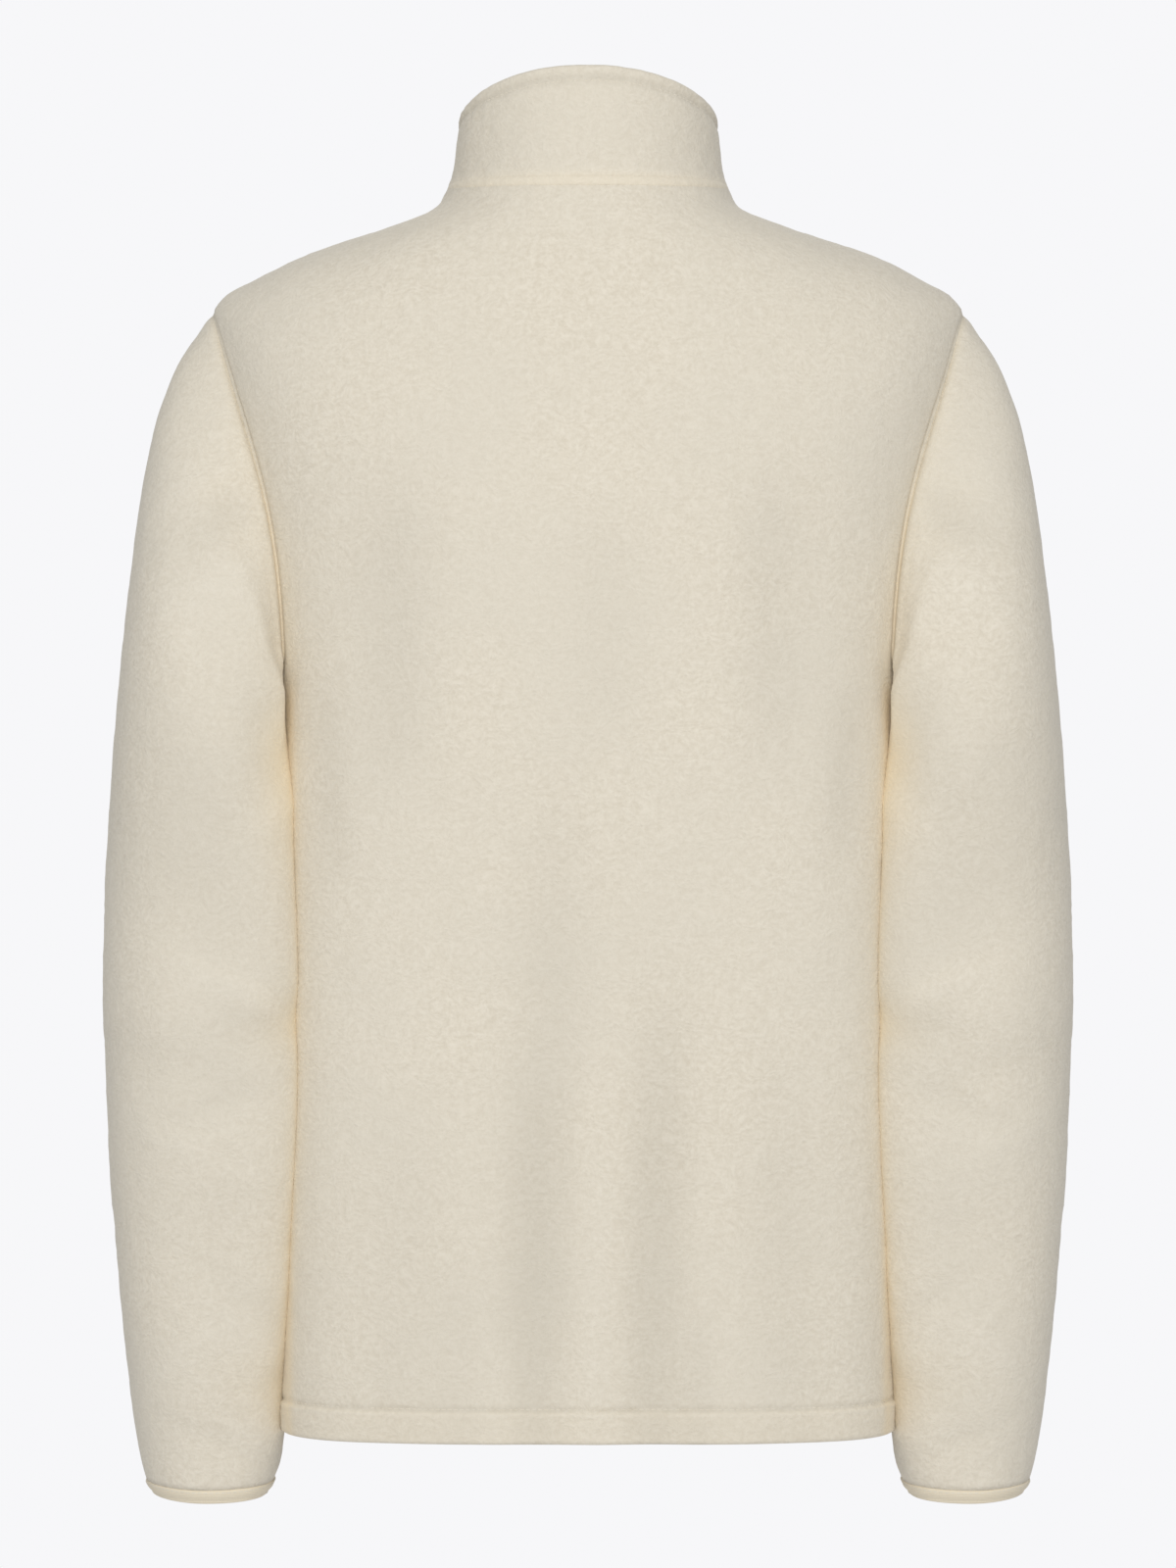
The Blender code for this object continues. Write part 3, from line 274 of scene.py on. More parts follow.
# Relief, painted shade and painted highlight beside seams and stitch lines: a bell of this strength and
# width at each place
Mark = namedtuple("Mark", "place width strength")
HEM_PUFF = (Mark(0.0120, 0.0055, 0.0006), Mark(0.0160, 0.0015, 0.0006))
HEM_PUCKERS = ((0.00014, 0.0047), (0.00010, 0.0021))  # height and run of each wave
HEM_PUCKER_BAND = (Mark(0.0165, 0.0050, 1.0),)
# Painted shade along the hem's stitch line, below the neckline, along the seams and above the cuff, and
# a painted highlight on the hem's puffed band
HEM_SHADE = (Mark(0.0188, 0.0016, -0.9), Mark(0.0160, 0.0016, 0.5))
NECK_SHADE = (Mark(0.0020, 0.0030, -0.5),)
SEAM_SHADE = (Mark(0.0, 0.0030, -1.0),)
CUFF_SHADE = (Mark(0.0, 0.0020, -0.3),)
BINDING_LAP = (Mark(2.90, 0.055, 0.22),)  # round the cuff, where the binding's ends lap
UNDERARM_DIP = (Mark(0.0, 0.0022, -0.0007),)
UNDERARM_SEAM = math.radians(186.0)  # where the sleeve's own seam runs, on its inner side
UNDERARM_RADIUS = 0.05
ZIP_EDGE_PUFF = (Mark(0.0035, 0.0020, 0.0005),)
SLEEVE_SEAM_PUFF = (Mark(0.006, 0.004, 0.0006),)
COLLAR_FOOT_DIP = (Mark(0.0050, 0.0022, -0.0003),)
COLLAR_RIM_PUFF = (Mark(0.0030, 0.0020, 0.0003),)
COLLAR_PUCKER = (0.00014, 0.0049)
# Painted highlight on the seam ridge at the collar's foot, painted shade at its stitch line and on its
# sides where they turn from the light
COLLAR_FOOT_SHADE = (Mark(0.0015, 0.0026, 0.5),)
COLLAR_LINE_SHADE = (Mark(0.0, 0.0016, -0.8),)
COLLAR_SIDE_SHADE = 0.35
COLLAR_PAINTED_BOUNCE = 0.4  # painted warm bounce light, as a share of the painted highlight at its foot
# Painted shade in troughs and painted highlight on ridges, by how deep the folds and creases are
FOLD_PAINTED_SHADING = 0.7  # how strongly the large folds of the body set its painted shade and highlight
CREASE_PAINTED_SHADING = 1.5
FULL_PAINTED_SHADING = 0.0045  # relief at which the painted shade is darkest and the painted highlight lightest

# The armhole's seam, by height: where it rolls in deeper, and what share of its depth goes above
# which height, over which run
ARMHOLE_DEEP = (Mark(-0.112, 0.036, 1.1),)
ARMHOLE_SHALLOW = (0.65, -0.088, 0.022)

# Painted warm light in the cloth's colour: bounce light along seams and below the arm, light on the
# hem's band;
# distance out and width of the strip on the back, and folds whose bells warm the sleeve at elbow, armpit
# and wrist, with their strength
PANEL_SEAM_PAINTED_BOUNCE = (Mark(0.0, 0.0022, 0.15),)
HEM_PAINTED_WARM_LIGHT = 0.10
SIDE_PAINTED_BOUNCE_STRIP = (Mark(0.1645, 0.0026, 0.7),)
SLEEVE_SIDE_PAINTED_BOUNCE = (0.55, 0.005, -0.262, -0.700)  # painted warm bounce light along the sleeve beside the body: strength, reach from the body, top and bottom
ARMHOLE_PAINTED_BOUNCE = (0.2, 0.6)  # painted warm bounce light beside the sleeve's seam at the shoulder, and how much more at the armpit
PAINTED_BOUNCE_PATCHES = (
    (0.55, SleeveFold(-0.456, 150.0, 0.0, 0.014, 26.0, -1.0)),
    (0.75, SleeveFold(-0.312, 138.0, 0.0, 0.046, 17.0, -1.0)),
    (0.22, SleeveFold(-0.655, 140.0, 0.0, 0.016, 34.0, -1.0)),
)

# Seams, stitching and teeth
SEAM_ROLL = 0.0046  # how far from a seam the cloth starts to roll in
SEAM_SINK = 0.0008
SEAM_CALM = 0.006  # how far from a seam the pile reaches its full unevenness
HEM_CALM = 0.004  # the same at the hem's edge
SEAM_REACH = 0.02  # how far from a seam its distance is worked out
FAR = 1.0  # the distance given beyond that
POINTS_AT_ONCE = 4000
NECK_SINK = 0.0003
HEM_STITCH_UP = 0.0188
COLLAR_STITCH_DROP = 0.0056
ZIP_STITCH_OFFSET = 0.0118
STITCH_SINK = 0.0011
STITCH_SPREAD = 0.0015
STITCH_PITCH = 0.0033
STITCH_SIZE = (0.0026, 0.00060, 0.00050)
HEM_STITCH_PROUD = 0.0001
CUFF_STITCH_PROUD = -0.0001
ZIP_STITCH_SINK = 0.8  # how deep the zip's stitches lie, as a share of the cloth's dip there
BEAD_RINGS = (-0.93, -0.62, 0.0, 0.62, 0.93)  # places of a bead's rings, in half lengths
BEAD_SIDES = 6
SECTION_SIDES = 14  # points round a raised seam
COLLAR_SEAM_SIZE = (0.0031, 0.0015)  # half width and half height of the raised seam
COLLAR_SEAM_SHADE = (0.34, 1.0)  # its painted warm bounce light and its painted highlight
COLLAR_SEAM_SUNK = (0.0004, 0.0011)  # how deep it lies, and how much deeper at the sides
ARMHOLE_SEAM_HIGH = (0.0010, -0.0010)  # radius at the shoulder, and how far out its middle lies
ARMHOLE_SEAM_LOW = (0.0008, -0.0009)  # the same at the armpit, where the seam fills a deep groove
ARMHOLE_SEAM_FLAT = 1.6  # how much wider than high it is
ZIP_ENDS = 0.003  # how far from hem and rim the lines beside the zip end
FRONT_FOOT = ((-0.683, -0.60), (0.0, 0.083))  # heights at the front's foot, and the way up there
ZIP_LINE = 1e-6  # the coil's line lies at the centre, and this gives it a side
TOOTH_PITCH = 0.00135
TOOTH_SIZE = (0.0031, 0.0010, 0.0017)
COIL_END = 0.0012  # how far the coil runs on into the box and the slider
CORE_SIZE = (0.0030, 0.0005)  # half width and half thickness of the cord woven in behind the coil


# ---------------------------------------------------------------- curves and noise


def smoothstep(t):
    """0 below 0, 1 above 1, and a smooth rise between."""
    t = np.clip(t, 0.0, 1.0)
    return t * t * (3.0 - 2.0 * t)


def bell(distance, spread):
    """1 at no distance, falling off as exp(-(distance / spread)^2)."""
    return np.exp(-((distance / spread) ** 2))


def marked(distance, marks):
    """The sum of the bells of these marks at a distance from a seam or an edge."""
    return sum(mark.strength * bell(distance - mark.place, mark.width) for mark in marks)


def through(keys, values, at):
    """A cubic through the values at the keys that never swings past its neighbours."""
    step = np.diff(keys)
    slope = np.diff(values) / step
    product = slope[:-1] * slope[1:]
    tangent = np.concatenate([slope[:1], np.zeros(len(keys) - 2), slope[-1:]])
    total = np.where(product > 0.0, slope[:-1] + slope[1:], 1.0)
    tangent[1:-1] = np.where(product > 0.0, 2.0 * product / total, 0.0)
    left = np.clip(np.searchsorted(keys, at, side="right") - 1, 0, len(keys) - 2)
    t = (at - keys[left]) / step[left]
    rise, run = values[left + 1] - values[left], step[left]
    return (
        values[left]
        + rise * t * t * (3.0 - 2.0 * t)
        + run * t * (1.0 - t) * (tangent[left] * (1.0 - t) - tangent[left + 1] * t)
    )


def unit(vectors):
    """The vectors at a length of 1."""
    return vectors / np.linalg.norm(vectors, axis=-1, keepdims=True)


def cube_noise(points, size, seed):
    """Smooth noise from -1 to 1: random values at the corners of cubes, blended between them."""
    cell = points / size
    corner = np.floor(cell).astype(np.int64)
    share = smoothstep(cell - corner)
    total = np.zeros(points.shape[:-1])
    for offset in itertools.product((0, 1), repeat=3):
        key = (corner + offset) @ CELL_PRIMES + seed * SEED_PRIME
        key = (key ^ (key >> 13)) * MIXING_PRIME
        value = ((key ^ (key >> 16)) & 0xFFFF) / 32767.5 - 1.0
        weight = np.where(offset, share, 1.0 - share).prod(axis=-1)
        total += value * weight
    return total


def uneven(points):
    """How far the pile and the slack of the cloth move each point out: three sizes of noise."""
    return sum(height * cube_noise(points, size, seed) for height, size, seed in UNEVEN_LAYERS)


def columns_of(rings):
    """Each column of a table of rings as an array, by its name."""
    return {
        field: np.array([getattr(ring, field) for ring in rings])
        for field in rings[0]._fields
        if field != "name"
    }


# ---------------------------------------------------------------- the body's and collar's form


class RingForm:
    """A smooth closed form through a table of rings.

    `up` is the distance along its side, and `turn` the angle round it, 0 at the centre back. A ring is
    the squared ellipse x = half width * sin / reach, y = depth * cos / reach, with reach the
    (|sin|^square + |cos|^square)^(1 / square) of the turn, and its height eases from side to centre.
    """

    def __init__(self, rings):
        self.table = columns_of(rings)
        run = np.hypot(np.diff(self.table["half_width"]), np.diff(self.table["side_z"]))
        self.keys = np.concatenate([[0.0], np.cumsum(run)])
        self.names = [ring.name for ring in rings]

    def key(self, name):
        """How far up the side the ring of this name lies."""
        return self.keys[self.names.index(name)]

    def size(self, field, up):
        """One of the table's sizes at any distance up the side."""
        return through(self.keys, self.table[field], up)

    def size_round(self, field, turn, up):
        """A size that is exact at the side, and towards back and front is a mean over nearby rings."""
        at_side = self.size(field, up)
        room = np.minimum(up, self.keys[-1] - up)
        spread = CORNER_SPREAD * smoothstep(room / (2.0 * CORNER_SPREAD))
        places = np.linspace(-1.0, 1.0, CORNER_PLACES)
        shares = 1.0 - np.abs(places) + (places[1] - places[0])
        shares = shares / shares.sum()
        mean = sum(
            share * self.size(field, up + place * spread) for place, share in zip(places, shares)
        )
        return mean + (at_side - mean) * np.abs(np.sin(turn)) ** CORNER_SHARPNESS

    def points(self, turn, up):
        """Points on the form at these angles and distances up."""
        turn, up = np.broadcast_arrays(turn, up)
        size = {field: self.size_round(field, turn, up) for field in self.table}
        side, end = np.sin(turn), np.cos(turn)
        square = size["square"]
        reach = (np.abs(side) ** square + np.abs(end) ** square) ** (1.0 / square)
        depth = np.where(end > 0.0, size["back_depth"], size["front_depth"])
        end_z = np.where(end > 0.0, size["back_z"], size["front_z"])
        lean = (np.abs(end) / reach) ** size["lean"]
        x = size["half_width"] * side / reach
        y = depth * end / reach
        return np.stack([x, y, size["side_z"] + (end_z - size["side_z"]) * lean], axis=-1)

    def normals(self, turn, up):
        """Unit vectors out of the form: its step up crossed with its step round."""
        turn, up = np.broadcast_arrays(turn, up)
        around = self.points(turn + NORMAL_STEP, up) - self.points(turn - NORMAL_STEP, up)
        above = np.minimum(up + NORMAL_STEP, self.keys[-1])
        below = np.maximum(up - NORMAL_STEP, 0.0)
        along = self.points(turn, above) - self.points(turn, below)
        return unit(np.cross(along, around))


BODY = RingForm(BODY_RINGS)
COLLAR = RingForm(COLLAR_RINGS)
ARMPIT = BODY.key("armpit")
SHOULDER_POINT = BODY.key("shoulder point")
NECK = BODY.key("neck seam")


def fold_window(z, top, bottom):
    """1 between the ends of a fold and easing to 0 at each, over a third of its length."""
    ease = (top - bottom) / 3.0
    return smoothstep((top - z) / ease) * smoothstep((z - bottom) / ease)


def body_relief(points, folds):
    """How far the folds move each point out: a bell across each fold, times its window along it."""
    x, y, z = np.moveaxis(points, -1, 0)
    relief = np.zeros_like(x)
    for fold in folds:
        along = (fold.top_z - z) / (fold.top_z - fold.bottom_z)
        middle = fold.top_x + (fold.bottom_x - fold.top_x) * along
        facing = smoothstep((y if fold.face == "back" else -y) / FACE_EASE)
        window = facing * fold_window(z, fold.top_z, fold.bottom_z)
        relief -= fold.depth * bell(x - middle, fold.half_width) * window
    return relief


def folded_body(turn, up):
    """The body's outer face with its large folds, and the normals of the form under it."""
    points, normals = BODY.points(turn, up), BODY.normals(turn, up)
    return points + normals * body_relief(points, BODY_FOLDS)[..., None], normals


def painted_fold_shading(relief):
    """The painted shading over this much relief: painted shade in troughs, painted highlight on ridges.
    """
    return np.clip(relief / FULL_PAINTED_SHADING, -1.0, 1.0)


def armhole_rows(low_steps, straight_steps, high_steps):
    """Places up the side between armpit and shoulder point: a cosine's quarter, even, a sine's."""
    height = SHOULDER_POINT - ARMPIT
    low = ARMHOLE_LOW_ROUND * (1.0 - np.cos(np.linspace(0.0, QUARTER, low_steps)))
    straight = height - ARMHOLE_HIGH_ROUND
    high = straight + ARMHOLE_HIGH_ROUND * np.sin(np.linspace(0.0, QUARTER, high_steps))
    even = np.linspace(low[-1], straight, straight_steps)[1:-1]
    return ARMPIT + np.concatenate([low, even, high])


def armhole_share(up):
    """How much of its full width the armhole has at this height: two quarter ovals."""
    height = SHOULDER_POINT - ARMPIT
    above = np.clip(up - ARMPIT, 0.0, height)
    low = np.clip(1.0 - above / ARMHOLE_LOW_ROUND, 0.0, 1.0)
    high = np.clip((above - height + ARMHOLE_HIGH_ROUND) / ARMHOLE_HIGH_ROUND, 0.0, 1.0)
    return np.sqrt(np.maximum(1.0 - low**2, 0.0)) * np.sqrt(np.maximum(1.0 - high**2, 0.0))


def seam_turn(up, armhole):
    """The angle of the side seam, of the armhole's edge and of the shoulder seam."""
    run = (up - SHOULDER_POINT) / (NECK - SHOULDER_POINT)
    shift = SHOULDER_SEAM_FORWARD * smoothstep(run / SHOULDER_SEAM_EASE)
    return QUARTER + armhole * armhole_share(up) + shift


def centre_turn(offset, form, up):
    """The angle at a sideways distance from the centre front."""
    return math.pi - offset / form.size("half_width", up)


def hem_wall(up):
    """The wall's thickness: two layers up to the hem's stitching, then one."""
    start, run = HEM_STEP
    above = smoothstep((up - start * HEM_DEPTH) / (run * HEM_DEPTH))
    return HEM_FOLD + (FLEECE - HEM_FOLD) * above


def hem_proud(up):
    """How far the hem's second layer pushes the outer face out."""
    return HEM_PROUD * (hem_wall(up) - FLEECE)


# ---------------------------------------------------------------- meshes


def mesh_object(name, points, quads, triangles=(), shades=None):
    """A smooth mesh from arrays of points, quads and triangles, turned outwards if it is inside out.

    The two columns of its shades are its painted warm bounce light and its painted shade and highlight,
    and its material reads both.
    """
    triangles = np.array(triangles, dtype=np.int64).reshape(-1, 3)
    quads = np.array(quads, dtype=np.int64).reshape(-1, 4)
    corner = points[quads]
    halves = np.concatenate([corner[:, (0, 1, 2)], corner[:, (0, 2, 3)], points[triangles]])
    halves = halves - points.mean(axis=0)
    if np.einsum("ij,ij->i", halves[:, 0], np.cross(halves[:, 1], halves[:, 2])).sum() < 0.0:
        quads, triangles = quads[:, ::-1], triangles[:, ::-1]
    loops = np.concatenate([quads.ravel(), triangles.ravel()])
    starts = np.concatenate(
        [4 * np.arange(len(quads)), quads.size + 3 * np.arange(len(triangles))]
    )
    mesh = bpy.data.meshes.new(name)
    mesh.vertices.add(len(points))
    mesh.vertices.foreach_set("co", points.astype(np.float32).ravel())
    mesh.loops.add(len(loops))
    mesh.loops.foreach_set("vertex_index", loops.astype(np.int32))
    mesh.polygons.add(len(starts))
    mesh.polygons.foreach_set("loop_start", starts.astype(np.int32))
    mesh.update(calc_edges=True)
    mesh.shade_smooth()
    if shades is not None:
        for column, word in enumerate(("painted_bounce", "painted_shading")):
            attribute = mesh.attributes.new(word, "FLOAT", "POINT")
            values = np.clip(shades.reshape(-1, 2)[:, column], -1.0, 1.0)
            attribute.data.foreach_set("value", values.astype(np.float32))
    thing = bpy.data.objects.new(name, mesh)
    bpy.context.scene.collection.objects.link(thing)
    return thing


def grid_quads(rows, columns, closed):
    """Quads over a grid of points, which meets itself round if it is closed."""
    row, column = np.meshgrid(
        np.arange(rows - 1), np.arange(columns if closed else columns - 1), indexing="ij"
    )
    right = (column + 1) % columns
    low, high = row * columns, (row + 1) * columns
    return np.stack([low + column, low + right, high + right, high + column], -1).reshape(-1, 4)


def shell_object(name, outer, inner, shades, closed=False):
    """A closed shell of cloth between an outer and an inner grid, with a rim along every edge."""
    rows, columns = outer.shape[:2]
    count = rows * columns
    faces = grid_quads(rows, columns, closed)
    index = np.arange(count).reshape(rows, columns)
    loops = [index[0], index[-1][::-1]]
    if not closed:
        border = [index[0], index[1:, -1], index[-1, -2::-1], index[-2:0:-1, 0]]
        loops = [np.concatenate(border)]
    rims = []
    for loop in loops:
        following = np.roll(loop, -1)
        rims.append(np.stack([following, loop, loop + count, following + count], axis=-1))
    quads = np.concatenate([faces, faces[:, ::-1] + count, *rims])
    points = np.concatenate([outer.reshape(-1, 3), inner.reshape(-1, 3)])
    return mesh_object(name, points, quads, shades=np.stack([shades, shades]))


def band_object(name, sections, shades, closed):
    """A band swept along a row of closed sections, with flat ends if it doesn't meet itself."""
    stations, corners = sections.shape[:2]
    index = np.arange(stations * corners).reshape(stations, corners)
    here, there = (index, np.roll(index, -1, axis=0)) if closed else (index[:-1], index[1:])
    quads = np.stack([here, np.roll(here, -1, 1), np.roll(there, -1, 1), there], -1)
    triangles = []
    points = sections.reshape(-1, 3)
    if not closed:
        ends = np.stack([sections[0].mean(axis=0), sections[-1].mean(axis=0)])
        first, last = len(points), len(points) + 1
        points = np.concatenate([points, ends])
        shades = np.concatenate([shades.reshape(-1, 2), np.zeros((2, 2))])
        low, high = index[0], index[-1]
        triangles = np.concatenate(
            [
                np.stack([np.roll(low, -1), low, np.full(corners, first)], -1),
                np.stack([high, np.roll(high, -1), np.full(corners, last)], -1),
            ]
        )
    return mesh_object(name, points, quads.reshape(-1, 4), triangles, shades)


def bead_object(name, middles, along, out, size):
    """Many rounded beads in one mesh: each is a rounded bar of this length, width and height.

    A bead has five rings of six points along it, whose radius is (1 - t^4)^(1/2) at the share t of its
    half length, and a point at each end.
    """
    side = np.cross(out, along)
    places = np.array(BEAD_RINGS)[:, None, None]
    angle = np.arange(BEAD_SIDES) * FULL_TURN / BEAD_SIDES
    ring = np.stack([np.zeros(BEAD_SIDES), np.cos(angle), np.sin(angle)], axis=-1)
    rings = places * np.array([1.0, 0.0, 0.0]) + np.sqrt(1.0 - places**4) * ring
    tips = np.array([[-1.0, 0.0, 0.0], [1.0, 0.0, 0.0]])
    local = np.concatenate([rings.reshape(-1, 3), tips])
    local = local * np.array(size) / 2.0
    points = (
        middles[:, None]
        + local[None, :, 0:1] * along[:, None]
        + local[None, :, 1:2] * side[:, None]
        + local[None, :, 2:3] * out[:, None]
    )
    quads = grid_quads(len(BEAD_RINGS), BEAD_SIDES, True)
    low_tip, high_tip = len(local) - 2, len(local) - 1
    first = np.arange(BEAD_SIDES)
    last = first + low_tip - BEAD_SIDES
    triangles = np.concatenate(
        [
            np.stack([np.roll(first, -1), first, np.full(BEAD_SIDES, low_tip)], -1),
            np.stack([last, np.roll(last, -1), np.full(BEAD_SIDES, high_tip)], -1),
        ]
    )
    shift = (np.arange(len(middles)) * len(local))[:, None, None]
    points = points.reshape(-1, 3)
    quads, triangles = (quads[None] + shift).reshape(-1, 4), (triangles[None] + shift).reshape(-1, 3)
    return mesh_object(name, points, quads, triangles)


def along_path(path, pitch, margin=0.5):
    """Places at an even pitch along a path, as whole and part steps between its points."""
    run = np.concatenate([[0.0], np.cumsum(np.linalg.norm(np.diff(path, axis=0), axis=1))])
    places = np.arange(margin * pitch, run[-1] - margin * pitch * 0.5, pitch)
    left = np.clip(np.searchsorted(run, places, side="right") - 1, 0, len(run) - 2)
    return left, (places - run[left]) / (run[left + 1] - run[left])


def at_places(values, left, share):
    """Rows of values blended at the places that along_path gives."""
    return values[left] + (values[left + 1] - values[left]) * share[:, None]


def stitches(paths, proud=0.0):
    """Middles, directions and outward vectors of the stitches along several (points, normals)."""
    middles, along, out = [], [], []
    for path, normals in paths:
        left, share = along_path(path, STITCH_PITCH)
        outward = unit(at_places(normals, left, share))
        ahead = unit(path[left + 1] - path[left])
        middles.append(at_places(path, left, share) + proud * outward)
        along.append(ahead)
        out.append(unit(outward - ahead * (outward * ahead).sum(-1, keepdims=True)))
    return np.concatenate(middles), np.concatenate(along), np.concatenate(out)


# ---------------------------------------------------------------- panels of the body


def edge_distance(points, line):
    """Each point's distance from the nearest segment of a line, up to a little over a seam's roll."""
    start, span = line[:-1], np.diff(line, axis=0)
    flat = points.reshape(-1, 3)
    result = np.full(len(flat), FAR)
    box_low, box_high = line.min(axis=0) - SEAM_REACH, line.max(axis=0) + SEAM_REACH
    near = np.flatnonzero(((flat > box_low) & (flat < box_high)).all(axis=1))
    length = np.maximum((span**2).sum(axis=1), 1e-14)
    for some in np.array_split(near, max(1, len(near) // POINTS_AT_ONCE)):
        offset = flat[some, None] - start[None]
        share = np.clip((offset * span).sum(-1) / length, 0.0, 1.0)
        gap = offset - share[..., None] * span
        result[some] = np.sqrt((gap**2).sum(-1)).min(axis=1)
    return result.reshape(points.shape[:-1])


def body_rows():
    """Places up the side for every row: fine at the hem, at the armhole's ends and at the neckline."""
    hem = HEM_EDGE * (1.0 - np.cos(np.linspace(0.0, QUARTER, 6)))
    band = np.linspace(hem[-1], HEM_BAND, 24)[1:]
    side = np.linspace(HEM_BAND, ARMPIT, 148)[1:]
    shoulder = np.linspace(SHOULDER_POINT, NECK - NECK_BAND, 44)[1:]
    neck = np.linspace(NECK - NECK_BAND, NECK - SEAM_GAP / 2, 8)[1:]
    return np.concatenate([hem, band, side, armhole_rows(9, 16, 62)[1:], shoulder, neck])


def finer_at_ends(count, fineness):
    """Shares from 0 to 1 whose steps are 1 - fineness as long at the ends and longer in the middle."""
    share = np.linspace(0.0, 1.0, count)
    return share - fineness * np.sin(2.0 * math.pi * share) / (2.0 * math.pi)


def seam_roll(distance):
    """How far the cloth sinks towards a seam: the square of what is left of the roll."""
    return -SEAM_SINK * np.clip(1.0 - distance / SEAM_ROLL, 0.0, 1.0) ** 2


def armhole_sink(points):
    """How deep the armhole's seam rolls in: most below the shoulder, little at its very point."""
    z = points[..., 2]
    share, start, run = ARMHOLE_SHALLOW
    return 1.0 + marked(z, ARMHOLE_DEEP) - share * smoothstep((z - start) / run)


def stitch_valley(distance):
    """How far the cloth sinks at a distance from a stitch line."""
    return -STITCH_SINK * bell(distance, STITCH_SPREAD)


def hem_relief(up, sideways):
    """The hem's fold puffs out below its stitching, with small puckers between the stitches."""
    pucker = sum(height * np.sin(sideways / run) for height, run in HEM_PUCKERS)
    line = stitch_valley(up - HEM_STITCH_UP)
    return marked(up, HEM_PUFF) + line + pucker * marked(up, HEM_PUCKER_BAND)


def body_panel(name, turn, up, edges, beside_zip=False):
    """A panel's shell: the folded form, moved by its creases, seams, hem and uneven pile, with painted
    shade, highlight and warm light.
    """
    points, normals = folded_body(turn, up)
    points = points + normals * hem_proud(up)[..., None]
    distance = np.full(points.shape[:2], FAR)
    for edge in edges:
        distance = np.minimum(distance, edge_distance(points, edge))
    below_neck = NECK - up
    seam = np.minimum(distance, below_neck)
    creases = body_relief(points, FINE_BODY_CREASES)
    # painted shade in the troughs of folds and creases, painted highlight on their ridges
    painted_shading = painted_fold_shading(FOLD_PAINTED_SHADING * body_relief(points, BODY_FOLDS) + CREASE_PAINTED_SHADING * creases)
    calm = smoothstep(seam / SEAM_CALM) * smoothstep(up / HEM_CALM)
    relief = creases + uneven(points) * (STEADY_PILE + (1.0 - STEADY_PILE) * calm)
    relief += seam_roll(distance) * armhole_sink(points)
    relief += seam_roll(below_neck) * NECK_SINK / SEAM_SINK
    relief += hem_relief(up, np.cumsum(np.full_like(turn, GRID_STEP), axis=1))
    # painted shade at the hem's stitch line, below the neckline and along the seams, painted highlight
    # on the hem's band
    painted_shading += marked(up, HEM_SHADE) + marked(below_neck, NECK_SHADE) + marked(distance, SEAM_SHADE)
    if beside_zip:
        from_centre = np.abs(points[..., 0]) - SLOT_HALF
        relief += seam_roll(from_centre)
        relief += stitch_valley(from_centre - (ZIP_STITCH_OFFSET - SLOT_HALF))
        relief += marked(from_centre, ZIP_EDGE_PUFF)
    wall = hem_wall(up)
    to_edge = np.clip(1.0 - up / HEM_EDGE, 0.0, 1.0)
    lost = HEM_EDGE_LOSS * (1.0 - np.sqrt(1.0 - to_edge**2))
    outer = points + normals * (relief - wall * lost)[..., None]
    inner = points - normals * (wall * (1.0 - lost))[..., None]
    # painted warm bounce light along the seams and beside the sleeve below the arm, painted warm light
    # on the hem's band
    painted_bounce = marked(distance, PANEL_SEAM_PAINTED_BOUNCE)
    under_arm = smoothstep((ARMPIT + 0.01 - up) / 0.02) * smoothstep(points[..., 1] / 0.03)
    painted_bounce += under_arm * marked(np.abs(points[..., 0]), SIDE_PAINTED_BOUNCE_STRIP)
    painted_bounce += HEM_PAINTED_WARM_LIGHT * smoothstep((HEM_STITCH_UP - up) / 0.002)
    return shell_object(name, outer, inner, np.stack([painted_bounce, painted_shading], axis=-1))


def edge_line(turn, up, column):
    """A panel's edge, as one column of its grid."""
    return folded_body(turn[:, column], up[:, column])[0]


def panel_turn(edge, share):
    """Angles from a panel's middle: the same in every row, and beyond the last stretched to its edge."""
    kept = STEADY_TURN * share / STEADY_SHARE
    stretched = STEADY_TURN + (edge - STEADY_TURN) * (share - STEADY_SHARE) / (1.0 - STEADY_SHARE)
    return np.where(share < STEADY_SHARE, kept, stretched)


def back_grid():
    up = body_rows()[:, None]
    edge = seam_turn(up, -ARMHOLE_BACK) - SEAM_GAP / 2 / BODY.size("back_depth", up)
    across = 2.0 * finer_at_ends(159, EDGE_FINENESS)[None, :] - 1.0
    return np.broadcast_arrays(np.sign(across) * panel_turn(edge, np.abs(across)), up)


def front_grid(side):
    up = body_rows()[:, None]
    edge = seam_turn(up, ARMHOLE_FRONT) + SEAM_GAP / 2 / BODY.size("front_depth", up)
    centre = centre_turn(SLOT_HALF, BODY, up)
    across = finer_at_ends(84, EDGE_FINENESS)[None, ::-1]
    return np.broadcast_arrays(side * (centre - panel_turn(centre - edge, across)), up)


# ---------------------------------------------------------------- sleeves


def armhole_loop():
    """Points round the left armhole on the panels' edges, and the normals of the body there."""
    rows = armhole_rows(9, 14, 56)
    back = seam_turn(rows, -ARMHOLE_BACK)[::-1]
    front = seam_turn(rows, ARMHOLE_FRONT)[1:-1]
    turn = np.concatenate([back, front])
    up = np.concatenate([rows[::-1], rows[1:-1]])
    points, normals = folded_body(turn, up)
    along = np.roll(points, -1, axis=0) - np.roll(points, 1, axis=0)
    inward = unit(np.cross(normals, along))
    inward *= np.sign((inward * (points.mean(axis=0) - points)).sum(axis=-1))[:, None]
    return points + inward * SEAM_GAP, normals


